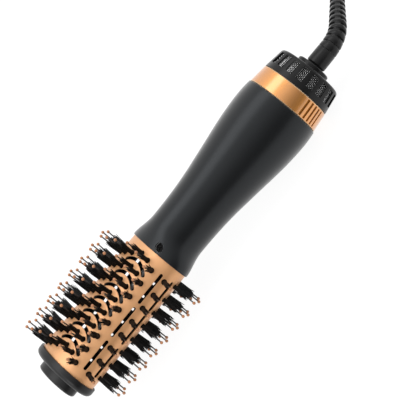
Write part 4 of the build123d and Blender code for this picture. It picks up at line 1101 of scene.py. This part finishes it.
class HOTBRUSH_OT_tip(bpy.types.Operator):
    """Makes the tip: a rounded oval rim and the smaller oval plug in front of it"""
    bl_idname = "hotbrush.tip"
    bl_label = "Tip rim and plug"

    def execute(self, context):
        inside = RIM_P - BARREL_P + BARREL_WALL
        deeper = inside + SPIGOT_WALL
        face = RIM_FACE_INSET
        rim = rounded([(-RIM_LENGTH, face, 0), (-RIM_LENGTH, RIM_FACE_START, 0),
                       (-RIM_LENGTH, 0, RIM_FACE_ROUND), (0, 0, RIM_EDGE_ROUND), (0, inside, 0),
                       (SPIGOT_LENGTH, inside, 0), (SPIGOT_LENGTH, deeper, 0), (RIM_FLOOR_X, deeper, 0),
                       (RIM_FLOOR_X, face, 0), (-RIM_LENGTH, face, 0)], steps=10)
        points, quads = oval_turned(np.column_stack([rim, np.ones(len(rim))]), RIM_P, RIM_Q)
        add_piece("tip_rim_ring", points, [quads], [finish_of("black_shell")], "handle", ["tip_rim"],
                  merge=True)
        floor_x = TIP_FACE_X + TIP_FLOOR
        side = rounded([(TIP_FACE_X, TIP_FACE_INSET, 0), (TIP_FACE_X, 0, TIP_FACE_ROUND),
                        (-RIM_LENGTH, 0, 0), (-RIM_LENGTH, TIP_WALL, 0), (floor_x, TIP_WALL, 0)], steps=10)
        front = [(TIP_FACE_X, TIP_FACE_INSET, 0), (TIP_FACE_X, TIP_FACE_INSET, 0.5)]
        back = [(floor_x, TIP_WALL, 0.5), (floor_x, TIP_WALL, 0)]
        plug = np.concatenate([front, np.column_stack([side, np.ones(len(side))]), back])
        points, quads = oval_turned(plug, TIP_P, TIP_Q)
        add_piece("tip_end_plug", points, [quads], [finish_of("black_shell")], "handle", ["tip_plug"],
                  merge=True)
        return {"FINISHED"}


def handle_radius(x):
    """The handle's round radius: a cubic through the measured radii with slopes from their neighbours."""
    knots = np.array([(BARREL_LENGTH, NECK_R), (BARREL_LENGTH + FLARE_LENGTH, NECK_R), *HANDLE_RADII])
    slopes = np.gradient(knots[:, 1], knots[:, 0])
    x = np.clip(x, BARREL_LENGTH, HANDLE_END)
    i = np.clip(np.searchsorted(knots[:, 0], x, side="right") - 1, 0, len(knots) - 2)
    step = knots[i + 1, 0] - knots[i, 0]
    t = (x - knots[i, 0]) / step
    blend = t * t * (3 - 2 * t)
    return (knots[i, 1] * (1 - blend) + knots[i + 1, 1] * blend
            + step * (slopes[i] * t * (1 - t) ** 2 - slopes[i + 1] * t * t * (1 - t)))


def handle_halves(x):
    """Half axes of the handle's section: the flange's oval eases into the round neck by a cosine."""
    share = (1 + np.cos(PI * np.clip((x - BARREL_LENGTH) / FLARE_LENGTH, 0, 1))) / 2
    radius = handle_radius(x)
    return radius + (FLANGE_P - NECK_R) * share, radius + (FLANGE_Q - NECK_R) * share


class HOTBRUSH_OT_handle(bpy.types.Operator):
    """Makes the satin black handle with its oval flange and two screw recesses"""
    bl_idname = "hotbrush.handle"
    bl_label = "Handle"

    def execute(self, context):
        edge = HANDLE_EDGE
        turn = np.linspace(PI / 2, 0, 5)[:-1]
        middle = np.linspace(BARREL_LENGTH + edge, HANDLE_END - edge, HANDLE_GRID[1])
        lines = np.concatenate([middle[0] - edge * turn, middle, middle[-1] + edge * turn[::-1]])
        outer_x = np.concatenate([middle[0] - edge * np.sin(turn), middle,
                                  middle[-1] + edge * np.sin(turn[::-1])])
        bow = edge * (1 - np.cos(turn))
        inset = np.concatenate([bow, 0 * middle, bow[::-1]])
        inner_x = np.interp(lines, lines[[0, -1]], (BARREL_LENGTH, HANDLE_END))

        def base(u, v, depth):
            """Points of the section's oval at angle u, drawn in towards the inner wall by depth."""
            share = depth / HANDLE_WALL
            x = np.interp(v, lines, outer_x) * (1 - share) + np.interp(v, lines, inner_x) * share
            drawn = np.interp(v, lines, inset) * (1 - share) + HANDLE_WALL * share
            half_p, half_q = handle_halves(x)
            t = u / HANDLE_SCALE
            return np.stack([x, -(half_p - drawn) * np.cos(t), (half_q - drawn) * np.sin(t)], 1)

        half_p, half_q = handle_halves(SCREW_X)
        outlines = []
        for t in np.radians([SCREW_ANGLE, SCREW_ANGLE + 180]):
            speed = np.hypot(half_p * np.sin(t), half_q * np.cos(t))
            outlines.append(round_outline(t * HANDLE_SCALE, SCREW_X, SCREW_RECESS_R * HANDLE_SCALE / speed,
                                          SCREW_RECESS_R, count=40))
        wall = punched_wall(base, np.linspace(0, 2 * PI * HANDLE_SCALE, HANDLE_GRID[0]), lines, outlines,
                            HANDLE_WALL, HANDLE_LIP, HANDLE_CLEAR)
        add_wall("satin_handle", wall, "handle_sleeve", "handle_black")
        return {"FINISHED"}


class HOTBRUSH_OT_selector(bpy.types.Operator):
    """Makes the gold selector ring with its five grip grooves, painted shade in the grooves and a painted
    highlight on its bevelled edges
    """
    bl_idname = "hotbrush.selector"
    bl_label = "Selector ring"

    def execute(self, context):
        slope = (RING_R2 - RING_R1) / (RING_END - RING_START)
        ramp = (GROOVE_START, GROOVE_START + GROOVE_RAMP, GROOVE_END - GROOVE_RAMP, GROOVE_END)
        stops = [(x, RING_R1 + slope * (x - RING_START), 0) for x in (*ramp[:2], GROOVE_MIDDLE, *ramp[2:])]
        bevel, edge = RING_BEVEL, RING_EDGE_ROUND
        profile = rounded([(RING_START, RING_INNER_R, 0), (RING_START, RING_R1 - bevel, edge),
                           (RING_START + bevel, RING_R1, edge), *stops, (RING_END - bevel, RING_R2, edge),
                           (RING_END, RING_R2 - bevel, edge), (RING_END, RING_INNER_R, 0),
                           (RING_START, RING_INNER_R, 0)], steps=3)
        share = np.interp(profile[:, 0], ramp, (0, 1, 1, 0)) * (profile[:, 1] > RING_INNER_R + 1)

        # stations round the ring: even steps, and closer ones across every groove and on the ribs between
        half = np.degrees(GROOVE_WIDTH / (RING_R1 + RING_R2))
        centres = 180 + (np.arange(GROOVES) - (GROOVES - 1) / 2) * GROOVE_STEP
        offsets = half * np.array([-station for station in GROOVE_STATIONS[:0:-1]] + list(GROOVE_STATIONS))
        plain = np.arange(0, 360, RING_STEP)
        margin = GROOVE_MARGIN * half
        plain = plain[(plain < centres[0] - margin) | (plain > centres[-1] + margin)]
        ribs = ((centres[:-1] + centres[1:]) / 2)[:, None] + np.array(RIB_STATIONS)
        angles = np.sort(np.concatenate([plain, (centres[:, None] + offsets).ravel(), ribs.ravel()]))
        gap = np.abs(angles[:, None] - centres).min(1) / half
        across = np.interp(gap, GROOVE_STATIONS, GROOVE_SHARES)
        a = np.radians(angles)
        r = profile[:, 1:2] - GROOVE_DEPTH * share[:, None] * across
        points = placed(np.stack([profile[:, :1] + 0 * a, r * np.cos(a), r * np.sin(a)], -1))
        quads = grid_quads(len(profile), len(a))
        # faces deep in a groove take the darker gold, painted shade; the bevelled faces at both ends take the pale
        # gold, a painted highlight
        cut = (share[:, None] * across).ravel()[quads].mean(1) > GROOVE_SHADE_SHARE
        near_end = np.minimum(profile[:, 0] - RING_START, RING_END - profile[:, 0]) < bevel + 0.02
        highlit_bevel = np.repeat(near_end & (profile[:, 1] > RING_INNER_R + 1), len(a))[quads].all(1)
        add_piece("gold_selector_ring", points, [quads],
                  [finish_of("ring_gold"), finish_of("groove_shade_gold"), finish_of("edge_highlight_gold")], "selector",
                  ["selector_ring"], merge=True, sharp=35,
                  face_materials=np.where(highlit_bevel, 2, cut))
        return {"FINISHED"}


def cap_radius(x):
    """The radius of the cap's conical side at x."""
    return CAP_R1 + (CAP_R2 - CAP_R1) * (x - CAP_START) / (CAP_SHOULDER - CAP_START)


class HOTBRUSH_OT_vents(bpy.types.Operator):
    """Makes the vent cap, the woven screen behind its slots and the cord boss"""
    bl_idname = "hotbrush.vents"
    bl_label = "Vent cap, screen and boss"

    def execute(self, context):
        self.make_cap()
        self.make_screen()
        boss = rounded([(BOSS_NECK_START, BOSS_NECK_INNER_R, 0), (BOSS_NECK_START, BOSS_NECK_R, 0),
                        (CAP_END, BOSS_NECK_R, 0), (CAP_END, BOSS_R, 0),
                        (BOSS_END - BOSS_BEVEL, BOSS_R, BOSS_EDGE_ROUND),
                        (BOSS_END, BOSS_R - BOSS_BEVEL, BOSS_EDGE_ROUND),
                        (BOSS_END, BOSS_BORE_R, BOSS_MOUTH_ROUND), (CAP_END, BOSS_BORE_R, 0),
                        (CAP_END, BOSS_NECK_INNER_R, 0), (BOSS_NECK_START, BOSS_NECK_INNER_R, 0)], steps=8)
        points, quads = turned(boss)
        add_piece("rounded_cord_boss", points, [quads], [finish_of("charcoal")], "handle", ["cord_boss"],
                  merge=True)
        return {"FINISHED"}

    def make_cap(self):
        """The cap's side is a cone, rounded over into its end face, with a slot for every vent."""
        outer = rounded([(CAP_START, CAP_R1 - 2 * CAP_EDGE_ROUND, 0), (CAP_START, CAP_R1, CAP_EDGE_ROUND),
                         (CAP_END, cap_radius(CAP_END), CAP_ROUND), (CAP_END, BOSS_NECK_R, 0)], steps=8)
        inner_end = CAP_END - CAP_WALL
        inner_r = CAP_R1 - CAP_WALL
        inner = rounded([(CAP_START, inner_r - 2 * CAP_INNER_ROUND, 0), (CAP_START, inner_r, CAP_INNER_ROUND),
                         (inner_end, cap_radius(inner_end) - CAP_WALL, CAP_ROUND - CAP_WALL),
                         (inner_end, BOSS_NECK_R, 0)], steps=8)
        run = np.concatenate([[0], np.cumsum(np.linalg.norm(np.diff(outer, axis=0), axis=1))])
        scale = cap_radius(VENT_X)

        def base(u, v, depth):
            """Points of the cap's profile at v, turned by u, between its outer and inner lines."""
            share = depth / CAP_WALL
            x = np.interp(v, run, outer[:, 0]) * (1 - share) + np.interp(v, run, inner[:, 0]) * share
            r = np.interp(v, run, outer[:, 1]) * (1 - share) + np.interp(v, run, inner[:, 1]) * share
            t = u / scale
            return np.stack([x, r * np.cos(t), r * np.sin(t)], 1)

        corner = np.searchsorted(outer[:, 0], CAP_START + 1)
        side = np.linspace(run[corner - 1], run[corner], 13)
        face = np.linspace(run[-2], run[-1], 9)
        lines = np.unique(np.concatenate([run, side, face]).round(6))
        tilt = np.arctan((CAP_R1 - CAP_R2) / (CAP_SHOULDER - CAP_START))
        middle = run[corner - 1] + (VENT_X - outer[corner - 1, 0]) / np.cos(tilt)
        outlines = [slot_outline(np.radians(360 / VENTS * (i + 0.5)) * scale, middle, VENT_WIDTH, VENT_LENGTH,
                                 VENT_ROUND) for i in range(VENTS)]
        wall = punched_wall(base, np.linspace(0, 2 * PI * scale, CAP_COLUMNS), lines, outlines, CAP_WALL,
                            CAP_LIP, CAP_CLEAR)
        add_wall("slotted_vent_cap", wall, "vent_cap", "charcoal")

    def make_screen(self):
        """A plain weave: lengthwise wires stand at r + w cos(pi (i + j)), hoops at r - w cos(pi (i + j))."""
        start, end = CAP_START + SCREEN_INSET, CAP_END - CAP_WALL - SCREEN_INSET
        pitch = (end - start) / SCREEN_HOOPS
        behind = CAP_WALL + SCREEN_GAP
        k = np.arange(2 * SCREEN_HOOPS + 1)
        x = start + k * pitch / 2
        j = np.arange(SCREEN_WIRES)[:, None]
        r = cap_radius(x) - behind + SCREEN_WAVE * np.cos(PI * (k / 2 - 0.5 + j))
        a = 2 * PI * j / SCREEN_WIRES
        lengthwise = np.stack([x + 0 * a, r * np.cos(a), r * np.sin(a)], -1)
        i = np.arange(SCREEN_HOOPS)[:, None]
        x = start + (i + 0.5) * pitch
        a = np.linspace(0, 2 * PI, 2 * SCREEN_WIRES + 1)
        r = cap_radius(x) - behind - SCREEN_WAVE * np.cos(PI * i + a * SCREEN_WIRES / 2)
        hoops = np.stack([x + 0 * a, r * np.cos(a), r * np.sin(a)], -1)
        # the hoops take the near-black inside finish: painted shade behind the bright lengthwise wires
        points, polygons, numbers = stacked(
            (*tubes(lengthwise, np.full(lengthwise.shape[:2], SCREEN_WIRE_R), sides=4), 0),
            (*tubes(hoops, np.full(hoops.shape[:2], SCREEN_HOOP_R), sides=4), 1))
        add_piece("woven_screen", placed(points), polygons,
                  [finish_of("mesh_steel"), finish_of("inner_plastic")], "handle", ["filter_screen"],
                  face_materials=numbers, sharp=100)


def relief_line():
    """The strain relief's centre line and its running length: straight along the axis, one quadratic
    curve (1-t)^2 A + 2 t (1-t) C + t^2 D round the corner C, then straight to its far end."""
    corner = np.array([RELIEF_CORNER, 0, 0])
    first = np.array([RELIEF_CORNER - RELIEF_EASE, 0, 0])
    last = corner + RELIEF_WAY * RELIEF_EASE
    t = np.linspace(0, 1, 60)[:, None]
    bend = (1 - t) ** 2 * first + 2 * t * (1 - t) * corner + t ** 2 * last
    line = np.concatenate([[(RELIEF_START, 0, 0)], bend, [corner + RELIEF_WAY * RELIEF_FAR]])
    return line, np.concatenate([[0], np.cumsum(np.linalg.norm(np.diff(line, axis=0), axis=1))])


class HOTBRUSH_OT_relief(bpy.types.Operator):
    """Makes the ribbed strain relief between the boss and the cord"""
    bl_idname = "hotbrush.relief"
    bl_label = "Strain relief"

    def execute(self, context):
        line, run = relief_line()
        length = run[-1]

        # rows of way along, radius, and how far the section is cut down between two ribs
        stops = [(x, radius, 0) for x, radius in RELIEF_FOOT]
        for i in range(RELIEF_RIBS):
            middle = RELIEF_STEM + (i + 0.5) * RELIEF_RIB_PITCH
            top = np.interp(middle, (RELIEF_STEM, length), (RELIEF_R1, RELIEF_R2))
            opened = np.interp(i, *RELIEF_OPENING)
            half = opened * (RELIEF_RIB_PITCH - RELIEF_RIB_LENGTH) / 2
            gap = middle - RELIEF_RIB_PITCH / 2
            stops += [(gap - half - RELIEF_LIP, top, 0), (gap - half, top - RELIEF_LIP_DROP, 0),
                      (gap - RELIEF_FLOOR * half, RELIEF_CORE * top, opened),
                      (gap + RELIEF_FLOOR * half, RELIEF_CORE * top, opened),
                      (gap + half, top - RELIEF_LIP_DROP, 0), (gap + half + RELIEF_LIP, top, 0)]
        stops += [(length - before_end, RELIEF_R2 - drop, 0) for before_end, drop in RELIEF_TIP]
        at, radius, cut = np.array(stops).T

        # a ring of points at every stop, across the centre line's own direction there
        along = np.stack([np.interp(at + 0.2, run, line[:, k]) - np.interp(at - 0.2, run, line[:, k])
                          for k in range(3)], 1)
        along /= np.linalg.norm(along, axis=1, keepdims=True)
        centre = np.stack([np.interp(at, run, line[:, k]) for k in range(3)], 1)
        upwards = np.cross((1, 0, 0), RELIEF_WAY)
        upwards /= np.linalg.norm(upwards)
        across = np.cross(upwards, along)
        a = 2 * PI * np.arange(64) / 64
        ring = np.cos(a)[:, None] * across[:, None] + np.sin(a)[:, None] * upwards

        # in a gap the two webs keep nearly the full radius, and the open sides go down to the core
        web = np.clip((np.abs(np.cos(a - RELIEF_WEB_ANGLE)) - RELIEF_WEB_EDGE) / RELIEF_WEB_FADE, 0, 1)
        full = np.where(cut > 0, radius / RELIEF_CORE * RELIEF_WEB, radius)[:, None]
        open_side = np.where(cut > 0, full[:, 0] + (radius - full[:, 0]) * cut, radius)[:, None]
        points = centre[:, None] + (open_side + (full - open_side) * web)[:, :, None] * ring
        rows, columns = points.shape[:2]
        points = np.concatenate([points.reshape(-1, 3), centre[[0, -1]]])
        fans = end_fans(rows, columns, rows * columns, rows * columns + 1)
        add_piece("ribbed_strain_relief", placed(points), [grid_quads(rows, columns), fans],
                  [finish_of("relief_rubber")], "cord_set", ["strain_relief"], sharp=45)
        return {"FINISHED"}


class HOTBRUSH_OT_inner(bpy.types.Operator):
    """Gives every carried-over node its own finish, but the handle screws a near-black one, painted shade in their
    recesses
    """
    bl_idname = "hotbrush.inner"
    bl_label = "Inner parts"

    def execute(self, context):
        for entry in frame["record"]["subparts"]:
            part = frame["nodes"][entry["node"]]
            part.data.materials.clear()
            # the handle screws take the near-black finish: painted shade in their recesses
            dark = entry["node"] == "handle_screws"
            part.data.materials.append(finish_of("screw_recess_shade" if dark else entry["material_slot"]))
        return {"FINISHED"}


class HOTBRUSH_OT_stage(bpy.types.Operator):
    """Sets the pale floor, the soft lights and the room"""
    bl_idname = "hotbrush.stage"
    bl_label = "Stage"

    def execute(self, context):
        sizes = context.scene.brush_stage
        far = FLOOR_HALF
        mesh = bpy.data.meshes.new("studio_floor")
        mesh.from_pydata([(-far, -far, 0), (far, -far, 0), (far, far, 0), (-far, far, 0)], [], [(0, 1, 2, 3)])
        mesh.materials.append(self.floor_finish(sizes.shadow))
        floor = bpy.data.objects.new("studio_floor", mesh)
        context.scene.collection.objects.link(floor)
        self.soft_box(context, "overhead_box", OVERHEAD_PLACE, OVERHEAD_AIM, OVERHEAD_SIZE, sizes.overhead)
        self.soft_box(context, "tip_box", TIP_BOX_PLACE, TIP_BOX_AIM, TIP_BOX_SIZE, sizes.tip_side)
        self.room(context, sizes.world)
        context.scene.view_settings.view_transform = "Standard"
        return {"FINISHED"}

    def soft_box(self, context, name, place, aim, size, power):
        """A rectangular lamp at a place, turned to face the point that it aims at."""
        data = bpy.data.lights.new(name, "AREA")
        data.shape = "RECTANGLE"
        data.size, data.size_y = size
        data.energy = power
        lamp = bpy.data.objects.new(name, data)
        context.scene.collection.objects.link(lamp)
        lamp.location = place
        lamp.rotation_euler = (Vector(place) - Vector(aim)).to_track_quat("Z", "Y").to_euler()

    def room(self, context, strength):
        """Light from every side, weaker from where the viewer stands. The camera sees it white, and so do
        reflections, but for the viewer's own side, which is dim in them."""
        world = bpy.data.worlds.new("room")
        context.scene.world = world
        world.use_nodes = True
        tree = world.node_tree
        glow = tree.nodes["Background"]
        glow.inputs["Strength"].default_value = strength
        where = tree.nodes.new("ShaderNodeTexCoord").outputs["Generated"]
        apart = tree.nodes.new("ShaderNodeSeparateXYZ")
        tree.links.new(where, apart.inputs["Vector"])
        back = self.ranged(tree, apart.outputs["Y"], ROOM_NEAR_Y, ROOM_FAR_Y, 0.0, 1.0)
        shade = tree.nodes.new("ShaderNodeValToRGB")
        ramp = shade.color_ramp.elements
        near, middle, far = ((grey, grey, grey, 1) for grey in ROOM_GREYS)
        ramp[0].color = near
        ramp[1].color = far
        ramp.new(ROOM_MIDDLE).color = middle
        tree.links.new(back, shade.inputs["Fac"])
        tree.links.new(shade.outputs["Color"], glow.inputs["Color"])
        path = tree.nodes.new("ShaderNodeLightPath")
        own_side = self.ranged(tree, apart.outputs["Y"], ROOM_NEAR_Y, MIRRORED_FULL_Y, MIRRORED_DIM, 1.0)
        bright = self.larger(tree, own_side, path.outputs["Is Camera Ray"])
        white = shader_node(tree, "ShaderNodeBackground", Color=(1, 1, 1, 1))
        tree.links.new(bright, white.inputs["Strength"])
        pick = tree.nodes.new("ShaderNodeMixShader")
        tree.links.new(self.seen_rays(tree, path), pick.inputs["Fac"])
        tree.links.new(glow.outputs["Background"], pick.inputs[1])
        tree.links.new(white.outputs["Background"], pick.inputs[2])
        tree.links.new(pick.outputs["Shader"], tree.nodes["World Output"].inputs["Surface"])

    def ranged(self, tree, value, low, high, first, last):
        """The value carried from low and high to first and last, and held there beyond them."""
        moved = tree.nodes.new("ShaderNodeMapRange")
        set_inputs(moved, {"From Min": low, "From Max": high, "To Min": first, "To Max": last})
        tree.links.new(value, moved.inputs["Value"])
        return moved.outputs["Result"]

    def larger(self, tree, first, second):
        """The larger of two values."""
        either = tree.nodes.new("ShaderNodeMath")
        either.operation = "MAXIMUM"
        tree.links.new(first, either.inputs[0])
        tree.links.new(second, either.inputs[1])
        return either.outputs["Value"]

    def seen_rays(self, tree, path):
        """1 for rays that come from the camera, straight or by way of metal or glass."""
        shiny = self.larger(tree, path.outputs["Is Glossy Ray"], path.outputs["Is Transmission Ray"])
        return self.larger(tree, shiny, path.outputs["Is Camera Ray"])

    def floor_finish(self, shadow):
        """White to the camera and in reflections, less a share of its own shade, so a soft shadow stays."""
        material = bpy.data.materials.new("studio_floor")
        material.use_nodes = True
        tree = material.node_tree
        plain = tree.nodes["Principled BSDF"]
        set_inputs(plain, {"Base Color": (FLOOR_GREY, FLOOR_GREY, FLOOR_GREY, 1), "Roughness": FLOOR_ROUGH,
                           "Specular IOR Level": 0.0})
        shaded = shader_node(tree, "ShaderNodeBsdfDiffuse", Color=(shadow, shadow, shadow, 1))
        light = FLOOR_LIGHT - shadow * FLOOR_LIGHT_DROP
        lit = shader_node(tree, "ShaderNodeEmission", Color=(1, 1, 1, 1), Strength=light)
        both = tree.nodes.new("ShaderNodeAddShader")
        tree.links.new(shaded.outputs["BSDF"], both.inputs[0])
        tree.links.new(lit.outputs["Emission"], both.inputs[1])
        path = tree.nodes.new("ShaderNodeLightPath")
        pick = tree.nodes.new("ShaderNodeMixShader")
        tree.links.new(self.seen_rays(tree, path), pick.inputs["Fac"])
        tree.links.new(plain.outputs["BSDF"], pick.inputs[1])
        tree.links.new(both.outputs["Shader"], pick.inputs[2])
        tree.links.new(pick.outputs["Shader"], tree.nodes["Material Output"].inputs["Surface"])
        return material


OPERATORS = (HOTBRUSH_OT_camera, HOTBRUSH_OT_cord, HOTBRUSH_OT_barrel, HOTBRUSH_OT_tufts, HOTBRUSH_OT_tip,
             HOTBRUSH_OT_handle, HOTBRUSH_OT_selector, HOTBRUSH_OT_vents, HOTBRUSH_OT_relief,
             HOTBRUSH_OT_inner, HOTBRUSH_OT_stage)


class HOTBRUSH_PT_panel(bpy.types.Panel):
    """Lists the brush's settings and the pieces that it is built from"""
    bl_idname = "HOTBRUSH_PT_panel"
    bl_label = "Hot Air Brush"
    bl_space_type = "VIEW_3D"
    bl_region_type = "UI"
    bl_category = "Hot Air Brush"

    def draw(self, context):
        for settings in (context.scene.brush_tufts, context.scene.brush_finish, context.scene.brush_stage):
            box = self.layout.box()
            for key in settings.__annotations__:
                box.prop(settings, key)
        for operator in OPERATORS:
            self.layout.operator(operator.bl_idname)


CLASSES = (BrushTuftSettings, BrushFinishSettings, BrushStageSettings, *OPERATORS, HOTBRUSH_PT_panel)


def register():
    """Adds the settings, operators and panel to Blender."""
    for cls in CLASSES:
        bpy.utils.register_class(cls)
    bpy.types.Scene.brush_tufts = PointerProperty(type=BrushTuftSettings)
    bpy.types.Scene.brush_finish = PointerProperty(type=BrushFinishSettings)
    bpy.types.Scene.brush_stage = PointerProperty(type=BrushStageSettings)


def unregister():
    """Takes them out again."""
    del bpy.types.Scene.brush_stage
    del bpy.types.Scene.brush_finish
    del bpy.types.Scene.brush_tufts
    for cls in reversed(CLASSES):
        bpy.utils.unregister_class(cls)


def main():
    """Builds every piece in order."""
    register()
    for operator in OPERATORS:
        group, action = operator.bl_idname.split(".")
        getattr(getattr(bpy.ops, group), action)()


if __name__ == "__main__":
    main()
